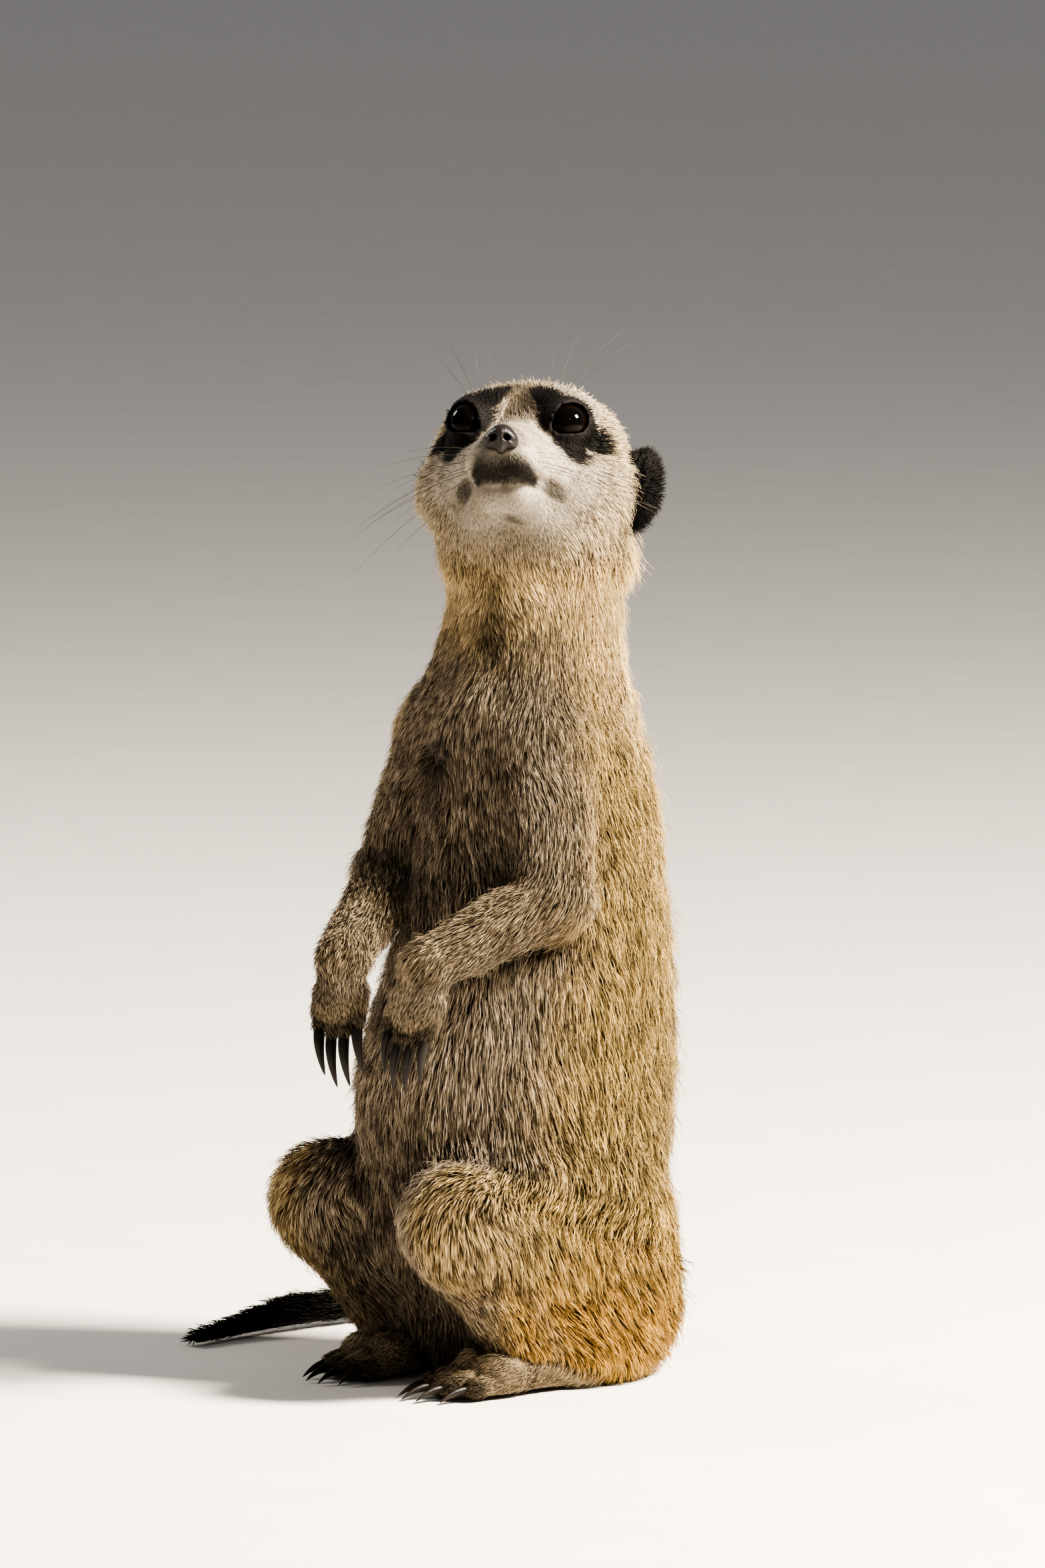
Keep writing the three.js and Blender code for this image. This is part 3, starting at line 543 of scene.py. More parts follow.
def largest_shell(vertices, triangles):
    """The mesh without loose crumbs: only the largest connected shell."""
    label = np.arange(len(vertices))
    while True:
        lowest = label[triangles].min(axis=1)
        new = label.copy()
        np.minimum.at(new, triangles.ravel(), np.repeat(lowest, 3))
        new = new[new]
        if np.array_equal(new, label):
            break
        label = new
    main = np.bincount(label[triangles[:, 0]]).argmax()
    triangles = triangles[label[triangles[:, 0]] == main]
    used, flat = np.unique(triangles, return_inverse=True)
    return vertices[used], flat.reshape(-1, 3)


def corner_normals(vertices, triangles):
    a, b, c = (vertices[triangles[:, i]] for i in range(3))
    facing = np.cross(b - a, c - a)
    normals = np.zeros_like(vertices)
    for i in range(3):
        for axis in range(3):
            normals[:, axis] += np.bincount(triangles[:, i], facing[:, axis], len(vertices))
    return unit(normals)


def make_mesh(name, vertices, triangles, material, slot, smooth=True):
    """A mesh object in metres from points in millimetres, riding on the body."""
    mesh = bpy.data.meshes.new(name)
    mesh.vertices.add(len(vertices))
    mesh.vertices.foreach_set("co", (vertices * MM).astype(np.float32).ravel())
    mesh.loops.add(triangles.size)
    mesh.loops.foreach_set("vertex_index", triangles.astype(np.int32).ravel())
    mesh.polygons.add(len(triangles))
    mesh.polygons.foreach_set("loop_start", np.arange(0, triangles.size, 3, dtype=np.int32))
    mesh.update(calc_edges=True)
    mesh.polygons.foreach_set("use_smooth", np.full(len(triangles), smooth))
    mesh.materials.append(material)
    piece = bpy.data.objects.new(name, mesh)
    bpy.context.scene.collection.objects.link(piece)
    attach(piece, "root")
    return piece


def give(piece, name, values):
    """Puts a number on each of the piece's points, for its material to read."""
    attribute = piece.data.attributes.new(name, "FLOAT", "POINT")
    attribute.data.foreach_set("value", values.astype(np.float32))


# ---- Markings: how much of each coat colour lies at a place, from 0 to 1

FOREHEAD, BRIDGE, SNOUT_TIP = (1, 2, 5), (0, -14, -8.5), (0, -22.5, -14.5)
MOUTH_CORNER_LIP_AND_SHADE = (12.0, -6.0, -21.7)
CHIN_SPOT = (1.0, -3.0, -31.6)
WHORL = np.array([-2.1, -25.6, 163.7])
THROAT_PIT = np.array([6.7, -16.7, 196.4])
THROAT_TOP = np.array([9.0, -16.4, 213.0])


def eye_patch(q, sign):
    """The dark patch round one eye: a ring, a spur to the brow, and lobes below and behind."""
    a = eye_coords(q, sign)
    u, v = a[:, 0], a[:, 2]
    ring = np.hypot(u / 7.6, (v - 0.3) / 6.8)
    spur = np.hypot((u + 5.2 + 0.25 * (v - 6)) / 3.4, (v - 6.2) / 5.0)
    lower = np.hypot((u - 0.4) / 4.9, (v + 7.0) / 5.8)
    outer = np.hypot((u - 7.2) / 5.4, (v + 2.6) / 3.9)
    nearest = np.minimum.reduce([ring, spur, lower, outer])
    return smoothstep(nearest, 1.16, 0.9) * (a[:, 1] > -6)


def nearest_of(parts, *names):
    """The least of the fields of some parts, on both sides of the body."""
    return np.minimum.reduce([parts[f"{name}_{side}"] for name in names for side in SIDES])


def face_marks(p, q, ragged, on_head):
    """The face's dark marks, with painted shadow under the nose and at the mouth corners, and the two that
    also dim its pale hair: the forehead's smudge and the dusk.
    """
    rough = q + 0.25 * ragged[:, None]
    patches = np.maximum(*[eye_patch(rough, sign) for sign in SIDES.values()])
    # The lips mark: dark lip skin, with painted shadow under the nose down to the mouth line.
    below_nose = -q[:, 2] - 17.0 + 0.4 * ragged
    lip_and_shadow = smoothstep(np.abs(q[:, 0]) - 4.6 - 0.75 * below_nose, 1.6, -1.0)
    lip_and_shadow = lip_and_shadow * smoothstep(below_nose, -1.5, 4.5) * smoothstep(below_nose, 7.4, 5.8) * (q[:, 1] < -10)
    mirrored = np.abs(q) * (1, 0, 0) + q * (0, 1, 1)
    # The mouth corners: dark lip skin, with painted shade in the corners of the mouth.
    corner = smoothstep(spot(mirrored, MOUTH_CORNER_LIP_AND_SHADE, (3.1, 5.5, 1.9)), 1.3, 0.7)
    snout = smoothstep(spot(q, SNOUT_TIP, (6.2, 6.5, 5.0)), 1.25, 0.75)
    smudge = smoothstep(spot(q, FOREHEAD, (10, 10, 8)) + 0.2 * ragged, 1.25, 0.5) * on_head
    bridge = smoothstep(spot(q, BRIDGE, (6.5, 15, 6.5)) + 0.2 * ragged, 1.2, 0.5)
    speckle = smoothstep(lattice_noise(p, 1.6, 13) + lattice_noise(p, 4.0, 14), 0.0, 0.9)
    speckle = speckle * smoothstep(q[:, 1], 12, -2)
    dusk = np.maximum(0.5 * bridge, 0.42 * speckle) * on_head
    chin = smoothstep(spot(q, CHIN_SPOT) + 0.8 * ragged, 4.2, 2.4)
    dark = np.maximum.reduce([
        patches * on_head, 0.95 * lip_and_shadow * on_head, 0.7 * corner * on_head, 0.6 * snout * on_head,
        0.6 * chin * on_head, 0.72 * smudge,
    ])
    return dark, smudge, dusk


def throat_marks(p, ragged):
    """The dark whorl of the chest, the pit of the throat, and the line above the pit."""
    whorl = smoothstep(spot(p, WHORL, (1, 1, 1.4)) + 2 * ragged, 8.0, 1.5)
    pit = smoothstep(spot(p, THROAT_PIT) + 1.5 * ragged, 6.5, 1.5)
    line = smoothstep(bone(p, THROAT_PIT, THROAT_TOP, 1.6, 0.6) + 0.8 * ragged, 2.6, -1.0)
    return np.maximum.reduce([0.55 * whorl, 0.65 * pit, 0.5 * line])


def arm_underside(p, ragged):
    """How far places lie on the under side of a forearm."""
    under = np.zeros(len(p))
    for limb in LIMBS.values():
        off = offset_from(p, limb["at"]["elbow"], limb["at"]["wrist"])
        below = smoothstep(off[:, 2] + ragged, 1.0, -5.0)
        under = np.maximum(under, below * (np.linalg.norm(off, axis=1) < 14))
    return under


def ticking_at(p, z, on_head):
    """Dark clumps over the body, heavier on the haunches and fewer on the neck."""
    clumps = smoothstep(lattice_noise(p, 2.6, 11) + 0.5 * lattice_noise(p, 6.5, 12), 0.0, 0.7)
    ticking = clumps * (1 - on_head) * (0.30 + 0.32 * smoothstep(z, 84, 56) * smoothstep(z, 8, 26))
    return ticking * (1 - 0.75 * smoothstep(z, 170, 200))


def digit_ends(p):
    """How far places lie from the nearest end of a finger or toe."""
    digits = [digit for limb in LIMBS.values() for digit in limb["fingers"] + limb["toes"]]
    return np.min([np.linalg.norm(p - digit["to"], axis=1) for digit in digits], axis=0)


def markings(p):
    """The share of each coat colour at the places, by the colour's name."""
    q = to_head(p)
    parts = body_parts(p)
    ragged = lattice_noise(p, 3.0, 5) * 0.9 + lattice_noise(p, 1.3, 6) * 0.5
    on_head = smoothstep(parts["head"] - 0.35 * np.minimum(parts["trunk"], 12), 5.0, -1.0)
    on_head = on_head * smoothstep(p[:, 2], 203, 222)
    toward_face = smoothstep(q[:, 1], 16, -4)
    z, across, back, half, deep, _ = trunk_offset(p)
    angle = np.arctan2(np.abs(across) / half, -back / deep)  # 0 at the middle of the front, pi at the back
    leg = smoothstep(nearest_of(parts, "thigh", "shank"), 5.0, 1.0)
    outer = smoothstep(np.abs(p[:, 0]), 22, 30) * leg
    shins = smoothstep(nearest_of(parts, "shank"), 3.0, 0.5)
    shins = shins * smoothstep(p[:, 1] + 0.45 * (p[:, 2] - 10) + 2 * ragged, -25, -33)
    shins = np.maximum(smoothstep(nearest_of(parts, "foot"), 3.0, 0.5), shins)
    arms = smoothstep(nearest_of(parts, "forearm", "hand"), 3.0, 0.5)
    arm_under = arm_underside(p, ragged)
    tail_run = tail_share_at(p)
    face, smudge, dusk = face_marks(p, q, ragged, on_head)
    dark = np.maximum.reduce([
        face, throat_marks(p, ragged), smoothstep(nearest_of(parts, "ear"), 1.6, 0.4),
        smoothstep(tail_run, 0.56, 0.70), ticking_at(p, z, on_head),
        0.7 * smoothstep(digit_ends(p) + ragged, 5.0, 2.4),
    ])
    front = smoothstep(angle + 0.08 * ragged, 1.5, 0.8) * smoothstep(z + 8 * ragged, 216, 180)
    front = front * (1 - 0.9 * outer)
    stripes = smoothstep(np.sin(z / 2.1 + 1.5 * lattice_noise(p, 14.0, 8)), -0.1, 0.9)
    stripes = stripes * smoothstep(angle, 1.9, 2.5) * smoothstep(z, 50, 66) * smoothstep(z, 160, 135)
    gold = np.maximum.reduce([
        0.85 * smoothstep(z + 6 * ragged, 66, 22) * smoothstep(angle, 0.7, 1.3),
        outer * smoothstep(p[:, 2] + 6 * ragged, 50, 20),
        0.8 * smoothstep(tail_run, 0.0, 0.05), 0.6 * arms * arm_under,
    ])
    grey = np.maximum.reduce([0.85 * arms * (1 - 0.8 * arm_under), shins, on_head * toward_face])
    return {
        "dark": np.clip(dark, 0, 1),
        "pale": on_head * (1 - 0.75 * smudge) * (1 - dusk) * (0.5 + 0.5 * toward_face),
        "under": np.clip(np.maximum(front * (1 - on_head), 0.55 * stripes), 0, 1),
        "gold": np.clip(gold, 0, 1),
        "grey": np.clip(grey, 0, 1),
        "neck": np.maximum(on_head, smoothstep(z + 8 * ragged + 26 * smoothstep(angle, 0.9, 1.8), 180, 214)),
    }


def tail_share_at(p):
    """How far along the tail each place lies, from 0 to 1, and 0 off the tail."""
    share = np.zeros(len(p))
    best = np.full(len(p), 9.0)
    for point, radius, along in zip(TAIL_POINTS, TAIL_RADII, TAIL_SHARE):
        distance = np.linalg.norm(p - point, axis=1) - radius
        closer = distance < best
        best[closer] = distance[closer]
        share[closer] = along
    return share


# ---- Materials

def socket(group, name, kind, into=True, default=None):
    made = group.interface.new_socket(name=name, in_out="INPUT" if into else "OUTPUT", socket_type=kind)
    if default is not None:
        made.default_value = default
    return made


def new_group(name, inputs, outputs):
    """A shader node group with named inputs and outputs."""
    group = bpy.data.node_groups.new(name, "ShaderNodeTree")
    for title, kind, default in inputs:
        socket(group, title, kind, True, default)
    for title, kind in outputs:
        socket(group, title, kind, False)
    start = group.nodes.new("NodeGroupInput")
    end = group.nodes.new("NodeGroupOutput")
    return group, start, end


def node(tree, kind, inputs=None, **settings):
    made = tree.nodes.new(kind)
    for name, value in settings.items():
        setattr(made, name, value)
    for key, value in (inputs or {}).items():
        target = made.inputs[key]
        if isinstance(value, bpy.types.NodeSocket):
            tree.links.new(value, target)
        else:
            target.default_value = value
    return made


def maths(tree, operation, a, b=0.0, clamp=False):
    return node(tree, "ShaderNodeMath", {0: a, 1: b}, operation=operation, use_clamp=clamp).outputs[0]


def scaled(tree, value, slope, start):
    """The value times a slope plus a start, kept between 0 and 1."""
    inputs = {0: value, 1: slope, 2: start}
    return node(tree, "ShaderNodeMath", inputs, operation="MULTIPLY_ADD", use_clamp=True).outputs[0]


def mixed(tree, factor, a, b, blend_type="MIX"):
    inputs = {"Factor": factor, 6: a, 7: b}
    return node(tree, "ShaderNodeMix", inputs, data_type="RGBA", blend_type=blend_type).outputs[2]


def mark(tree, name):
    return node(tree, "ShaderNodeAttribute", attribute_name=name).outputs["Fac"]


def object_place(tree):
    return node(tree, "ShaderNodeTexCoord").outputs["Object"]


def cloud(tree, place, scale, detail=3.0):
    """Soft noise; a larger scale gives smaller lumps."""
    inputs = {"Vector": place, "Scale": scale, "Detail": detail}
    return node(tree, "ShaderNodeTexNoise", inputs).outputs["Fac"]


def bumped(tree, shader, height, strength, distance):
    bump = node(tree, "ShaderNodeBump", {"Height": height, "Strength": strength, "Distance": distance})
    tree.links.new(bump.outputs[0], shader.inputs["Normal"])


FLOAT, COLOR = "NodeSocketFloat", "NodeSocketColor"

# Hair colours, each at the root, middle and tip of a hair.
HAIR = {
    "back": ((0.028, 0.018, 0.009), (0.37, 0.26, 0.105), (0.84, 0.67, 0.345)),
    "under": ((0.026, 0.020, 0.015), (0.200, 0.157, 0.112), (0.54, 0.455, 0.335)),
    "pale": ((0.18, 0.155, 0.125), (0.385, 0.345, 0.285), (0.63, 0.585, 0.51)),
    "neck": ((0.20, 0.14, 0.075), (0.56, 0.42, 0.22), (0.86, 0.72, 0.45)),
    "gold": ((0.036, 0.020, 0.007), (0.36, 0.205, 0.055), (0.74, 0.50, 0.175)),
    "grey": ((0.032, 0.024, 0.016), (0.25, 0.192, 0.122), (0.54, 0.445, 0.30)),
    "dark": ((0.003, 0.0025, 0.002), (0.005, 0.004, 0.0035), (0.011, 0.0085, 0.007)),
}


def coat_colour_group():
    """Colour of a hair from the markings, the place along it, its own tone and ticking."""
    group, start, end = new_group(
        "coat_colour",
        [("Along", FLOAT, 0.5), ("Tone", FLOAT, 0.5)],
        [("Color", COLOR)],
    )
    along, tone = start.outputs["Along"], start.outputs["Tone"]
    low = scaled(group, along, 2.3, -0.42)
    high = scaled(group, along, 2.8, -1.7)
    colour = None
    for name in ("back", "neck", "gold", "under", "grey", "pale", "dark"):
        root, middle, tip = ((*c, 1.0) for c in HAIR[name])
        hair = mixed(group, high, mixed(group, low, root, middle), tip)
        colour = hair if colour is None else mixed(group, mark(group, name), colour, hair)
    broad = cloud(group, object_place(group), 55.0)
    shade = maths(group, "ADD", maths(group, "MULTIPLY", broad, 0.45), maths(group, "MULTIPLY", tone, 0.85))
    shade = maths(group, "ADD", shade, 0.35)
    grey = node(group, "ShaderNodeCombineColor", {"Red": shade, "Green": shade, "Blue": shade}).outputs[0]
    colour = mixed(group, 1.0, colour, grey, "MULTIPLY")
    group.links.new(colour, end.inputs["Color"])
    return group


def short_fur_group():
    """Height of short fur lying on the skin, and the colour ticking that goes with it."""
    group, start, end = new_group(
        "short_fur",
        [("Scale", FLOAT, 900.0), ("Streak", FLOAT, 0.35)],
        [("Height", FLOAT), ("Along", FLOAT)],
    )
    place = object_place(group)
    squeezed = node(group, "ShaderNodeMapping", {"Vector": place, "Scale": (1.0, 1.0, 0.35)}).outputs[0]
    fine = cloud(group, squeezed, start.outputs["Scale"], 2.0)
    coarse = cloud(group, squeezed, 320.0)
    height = maths(group, "ADD", maths(group, "MULTIPLY", fine, 0.6), maths(group, "MULTIPLY", coarse, 0.4))
    group.links.new(height, end.inputs["Height"])
    spread = maths(group, "MULTIPLY", maths(group, "SUBTRACT", height, 0.5), start.outputs["Streak"])
    group.links.new(maths(group, "ADD", spread, 0.42, clamp=True), end.inputs["Along"])
    return group


def principled(name, roughness, specular):
    """A material, its node tree and its Principled shader."""
    material = bpy.data.materials.new(name)
    material.use_nodes = True
    tree = material.node_tree
    shader = tree.nodes["Principled BSDF"]
    shader.inputs["Roughness"].default_value = roughness
    shader.inputs["Specular IOR Level"].default_value = specular
    return material, tree, shader


def coat_material(colour_group):
    material, tree, shader = principled("coat_hair", 0.6, 0.14)
    colour = node(tree, "ShaderNodeGroup", node_tree=colour_group)
    tree.links.new(mark(tree, "along"), colour.inputs["Along"])
    tree.links.new(mark(tree, "tone"), colour.inputs["Tone"])
    tree.links.new(colour.outputs["Color"], shader.inputs["Base Color"])
    return material


def skin_material(colour_group, fur_group):
    material, tree, shader = principled("furred_skin", 0.8, 0.2)
    fur = node(tree, "ShaderNodeGroup", node_tree=fur_group)
    colour = node(tree, "ShaderNodeGroup", node_tree=colour_group)
    tree.links.new(fur.outputs["Along"], colour.inputs["Along"])
    colour.inputs["Tone"].default_value = 0.45
    bare = mixed(tree, mark(tree, "bare"), colour.outputs["Color"], (0.007, 0.005, 0.005, 1.0))
    tree.links.new(bare, shader.inputs["Base Color"])
    bumped(tree, shader, fur.outputs["Height"], 0.55, 0.0006)
    return material


def nose_material():
    material, tree, shader = principled("nose_leather", 0.42, 0.4)
    place = object_place(tree)
    pebbles = node(tree, "ShaderNodeTexVoronoi", {"Vector": place, "Scale": 1900.0}).outputs["Distance"]
    colour = mixed(tree, cloud(tree, place, 260.0), (0.004, 0.003, 0.003, 1.0), (0.015, 0.010, 0.009, 1.0))
    tree.links.new(colour, shader.inputs["Base Color"])
    bumped(tree, shader, pebbles, 0.5, 0.0002)
    return material


def eye_material():
    """Dark brown iris round a black pupil, from the distance off the eye's axis."""
    material, tree, shader = principled("eye_wet", 0.04, 0.11)
    axis = mark(tree, "off_axis")
    fibres = cloud(tree, object_place(tree), 1500.0, 2.0)
    iris = mixed(tree, fibres, (0.002, 0.0014, 0.001, 1.0), (0.005, 0.003, 0.002, 1.0))
    pupil = node(tree, "ShaderNodeMapRange", {"Value": axis, 1: 0.36, 2: 0.42}).outputs[0]
    white = node(tree, "ShaderNodeMapRange", {"Value": axis, 1: 0.84, 2: 0.90}).outputs[0]
    colour = mixed(tree, pupil, (0.002, 0.002, 0.002, 1.0), iris)
    colour = mixed(tree, white, colour, (0.012, 0.009, 0.008, 1.0))
    tree.links.new(colour, shader.inputs["Base Color"])
    return material


def claw_material():
    material, tree, shader = principled("claw_horn", 0.42, 0.22)
    along = mark(tree, "along")
    grain = cloud(tree, object_place(tree), 700.0)
    colour = mixed(tree, along, (0.008, 0.006, 0.005, 1.0), (0.030, 0.023, 0.019, 1.0))
    colour = mixed(tree, grain, colour, (0.009, 0.007, 0.006, 1.0))
    tree.links.new(colour, shader.inputs["Base Color"])
    bumped(tree, shader, grain, 0.25, 0.0003)
    return material


COAT_COLOUR = coat_colour_group()
SHORT_FUR = short_fur_group()
COAT = coat_material(COAT_COLOUR)
SKIN = skin_material(COAT_COLOUR, SHORT_FUR)
NOSE = nose_material()
EYE = eye_material()
CLAW = claw_material()


# ---- The skin

FLESH_NODES = ["rump", "belly", "chest", "neck", "head", "muzzle", "tail_base", "tail_middle", "tail_tip"]
FLESH_NODES += [f"ear_{side}" for side in SIDES]
FLESH_NODES += [f"{name}_{side}" for name in LIMB_PARTS for side in SIDES]
SKIN_VOXEL = 0.7
LOW, HIGH = (-108, -72, -4), (52, 92, 268)


def skin_bareness(p):
    """Where the skin shows no fur: the rims of the lids."""
    q = to_head(p)
    rims = []
    for sign in SIDES.values():
        near_eye = spot(q, EYE_PLACE * (sign, 1, 1)) < EYE_RADIUS + 2.5
        rims.append(smoothstep(np.abs(lid_opening(q, sign)), 2.3, 1.5) * near_eye)
    return np.maximum(*rims)


skin_vertices, skin_triangles = contour(skin_shape, LOW, HIGH, SKIN_VOXEL, 0.004)
skin_normals = corner_normals(skin_vertices, skin_triangles)
skin = make_mesh("skin", skin_vertices, skin_triangles, SKIN, "coat")
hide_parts(*FLESH_NODES)
for name, values in markings(skin_vertices).items():
    give(skin, name, values)
give(skin, "bare", skin_bareness(skin_vertices))


# ---- Eyes, nose and claws

def rings_mesh(rings, tip=None):
    """A closed mesh through rings of points, with a cap at the start and a cap or a tip at the end."""
    rings = np.array(rings)
    count, sides = rings.shape[:2]
    vertices = rings.reshape(-1, 3)
    i, j = np.meshgrid(np.arange(count - 1), np.arange(sides), indexing="ij")
    a, b = i * sides + j, i * sides + (j + 1) % sides
    bands = np.stack([a, b, b + sides, a, b + sides, a + sides], -1).reshape(-1, 3)
    ends = [vertices[:sides].mean(0), vertices[-sides:].mean(0) if tip is None else tip]
    k = np.arange(sides)
    start = np.stack([(k + 1) % sides, k, np.full(sides, len(vertices))], 1)
    last = (count - 1) * sides
    end = np.stack([last + k, last + (k + 1) % sides, np.full(sides, len(vertices) + 1)], 1)
    return np.vstack([vertices, ends]), np.vstack([bands, start, end])


def make_eye(side):
    """A ball with a cornea that bulges a little."""
    sign = SIDES[side]
    axes = eye_axes(sign)
    polar = np.linspace(0, math.pi, 40)[1:-1]
    around = np.linspace(0, 2 * math.pi, 48, endpoint=False)
    radius = EYE_RADIUS * (1 + 0.05 * smoothstep(np.sin(polar) + 9 * (polar > math.pi / 2), 0.8, 0.2))
    ring = np.stack([np.outer(np.sin(polar) * radius, np.cos(around)),
                     np.repeat((np.cos(polar) * radius)[:, None], len(around), 1),
                     np.outer(np.sin(polar) * radius, np.sin(around))], -1)
    local, triangles = rings_mesh(ring)
    places = from_head(local @ axes.T + EYE_PLACE * (sign, 1, 1))
    eye = make_mesh(f"eyeball_{side}", places, facing_out(places, triangles), EYE, "eye")
    reach = np.hypot(local[:, 0], local[:, 2]) / EYE_RADIUS
    give(eye, "off_axis", np.where(local[:, 1] > 0, reach, 1.0))
    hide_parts(f"eye_{side}")


def nose_shape(p):
    q = to_head(p)
    tip = egg(q, (0, -23.0, -15.0), (3.3, 3.6, 2.9))
    top = egg(q, (0, -21.0, -13.4), (2.9, 3.4, 2.0))
    wings = both(q, egg, (2.7, -22.4, -16.0), (1.6, 2.5, 2.0))
    foot = egg(q, (0, -22.4, -17.6), (1.3, 2.2, 1.8))
    nose = blend(1.4, tip, top, *wings, foot)
    for sign in SIDES.values():
        hole = bone(q, (sign * 1.5, -26.4, -16.1), (sign * 2.2, -22.6, -15.7), 0.85, 0.7)
        slit = bone(q, (sign * 2.2, -25.8, -16.4), (sign * 4.4, -23.0, -17.2), 0.42, 0.3)
        nose = carve(0.5, nose, np.minimum(hole, slit))
    groove = bone(q, (0, -27.0, -15.2), (0, -24.6, -19.0), 0.28, 0.32)
    return carve(0.5, nose, groove)


for side in SIDES:
    make_eye(side)
nose_at = from_head([0, -23, -15])[0]
nose = make_mesh("nose_pad", *contour(nose_shape, nose_at - 8, nose_at + 8, 0.25, 0.002), NOSE, "nose")
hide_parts("nose")

CLAW_SIDES, CLAW_RINGS = 14, 18
CLAW_ROOT = 1.8
CLAW_OVERLAP = 2.6  # length of each claw that lies inside its digit
CLAW_WIDTH = 0.72  # width of a claw as a share of its depth
CLAW_BEND, CLAW_DIP, CLAW_HOOK = 0.36, 0.06, 0.30
HAND_CLAW_RADIUS, FOOT_CLAW_RADIUS = 2.1, 1.35


def make_claw(name, digit, size):
    """A claw that tapers and curls, deeper than it is wide, rooted inside the end of its digit."""
    direction, curl = digit["point"], digit["curl"]
    across = np.cross(curl, direction)
    length = digit["length"] + CLAW_OVERLAP
    root = digit["to"] + (digit["tip_radius"] + CLAW_ROOT - CLAW_OVERLAP) * direction
    turn = np.linspace(0, 2 * math.pi, CLAW_SIDES, endpoint=False)
    rings, marks = [], []
    for share in np.linspace(0, 0.985, CLAW_RINGS):
        bend = CLAW_BEND * share**2 - CLAW_DIP * share
        middle = root + share * length * direction + bend * length * curl
        thick = size * (1 - share) ** 0.62 * (1 - 0.25 * (1 - share) ** 6)
        rim = CLAW_WIDTH * np.outer(np.cos(turn), across) + np.outer(np.sin(turn), curl)
        rings.append(middle + thick * rim)
        marks += [share] * CLAW_SIDES
    vertices, triangles = rings_mesh(rings, root + length * direction + CLAW_HOOK * length * curl)
    claw = make_mesh(f"horn_{name}", vertices, facing_out(vertices, triangles), CLAW, "claw")
    give(claw, "along", np.array([*marks, 0.0, 1.0]))
    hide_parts(name)


for side, limb in LIMBS.items():
    for number, (finger, toe) in enumerate(zip(limb["fingers"], limb["toes"]), start=1):
        make_claw(f"claw_hand_{side}_{number}", finger, HAND_CLAW_RADIUS)
        make_claw(f"claw_foot_{side}_{number}", toe, FOOT_CLAW_RADIUS)


# ---- The lie, length and density of the coat, part by part

# Length and width of a tuft, its lift off the skin in degrees, tufts per square millimetre, and how far
# tufts are drawn together into locks.
GROOM = {
    "trunk": (11.0, 0.40, 19, 1.7, 0.45),
    "head": (5.0, 0.24, 13, 3.8, 0.25),
    "ear": (2.6, 0.24, 26, 4.0, 0.10),
    "upper_arm": (9.0, 0.36, 18, 2.0, 0.40),
    "forearm": (7.5, 0.32, 20, 2.4, 0.35),
    "hand": (3.6, 0.30, 16, 4.2, 0.20),
    "thigh": (11.0, 0.42, 18, 1.8, 0.55),
    "shank": (7.5, 0.38, 17, 2.1, 0.35),
    "foot": (3.5, 0.34, 17, 4.4, 0.15),
    "tail": (6.5, 0.36, 16, 2.3, 0.35),
}
PART_SOFTNESS = 2.2
NOSE_AT = np.array([0.0, -27.0, -14.0])


def away(p, centre, reach):
    """Directions away from a place, fading beyond its reach."""
    offset = p - centre
    distance = np.linalg.norm(offset, axis=1, keepdims=True)
    return offset / np.maximum(distance, 1e-6) * np.exp(-(distance / reach) ** 2)


def trunk_flow(p):
    z, across, back, half, deep, _ = trunk_offset(p)
    spread = turn_z(CHEST_TURN) @ np.array([1.0, 0.0, 0.0])
    sideways = np.clip(across / half, -1, 1)[:, None] * spread
    rearward = turn_z(CHEST_TURN) @ REARWARD
    front = smoothstep(-back / deep, -0.2, 0.7)[:, None]
    seat = smoothstep(z, 40, 12)[:, None]
    chest = smoothstep(z, 135, 160)[:, None] * smoothstep(z, 215, 198)[:, None]
    flow = -UP + (0.40 + 0.45 * chest) * front * sideways
    flow = flow + 0.18 * (1 - front) * rearward + 0.9 * seat * rearward
    return flow + 1.1 * away(p, WHORL, 8.0) + 0.6 * away(p, THROAT_PIT, 7.0)


def head_flow(p):
    q = to_head(p)
    flow = unit(q - NOSE_AT) + (0, 0.35, 0) + (0, 0, -0.25) * smoothstep(q[:, 1:2], 5, 20)
    for sign in SIDES.values():
        flow += 1.6 * away(q, EYE_PLACE * (sign, 1, 1) + (0, -3, 0), 8.0)
    return flow @ HEAD_AXES.T


def ear_flow(p, side):
    a = ear_coords(to_head(p), side)
    radial = a * (0.2, 1.0, 1.0) + (0.4, 1.5, 2.0)
    return (radial * (SIDES[side], 1, 1)) @ ear_axes(side).T @ HEAD_AXES.T


def tail_flow(p):
    share = tail_share_at(p)
    step = np.gradient(TAIL_POINTS, axis=0)
    return np.stack([np.interp(share, TAIL_SHARE, step[:, i]) for i in range(3)], axis=1)


def leg_flow(p, at):
    """Down and backwards at the side of a leg, forwards over the top of the thigh."""
    low = smoothstep(p[:, 2:3], 46, 14)
    top = smoothstep(offset_from(p, at["hip"], at["knee"])[:, 2], 3, 12)[:, None]
    return -UP + (1 - top) * (0.22 + 0.6 * low) * REARWARD - top * 1.1 * REARWARD


def limb_flow(p, name, side):
    limb = LIMBS[side]
    if name in ("thigh", "shank"):
        return leg_flow(p, limb["at"])
    if name == "hand":
        return np.tile(limb["down"], (len(p), 1))
    if name == "foot":
        return np.tile(limb["forward"] - 0.15 * UP, (len(p), 1))
    start, end, _ = LIMB_PARTS[name]
    along = unit(limb["at"][end] - limb["at"][start])
    return np.tile(along - 0.25 * UP, (len(p), 1))


def part_flow(p, part):
    name, _, side = part.rpartition("_")
    if part == "trunk":
        return trunk_flow(p)
    if part == "head":
        return head_flow(p)
    if part == "tail":
        return tail_flow(p)
    if name == "ear":
        return ear_flow(p, side)
    return limb_flow(p, name, side)


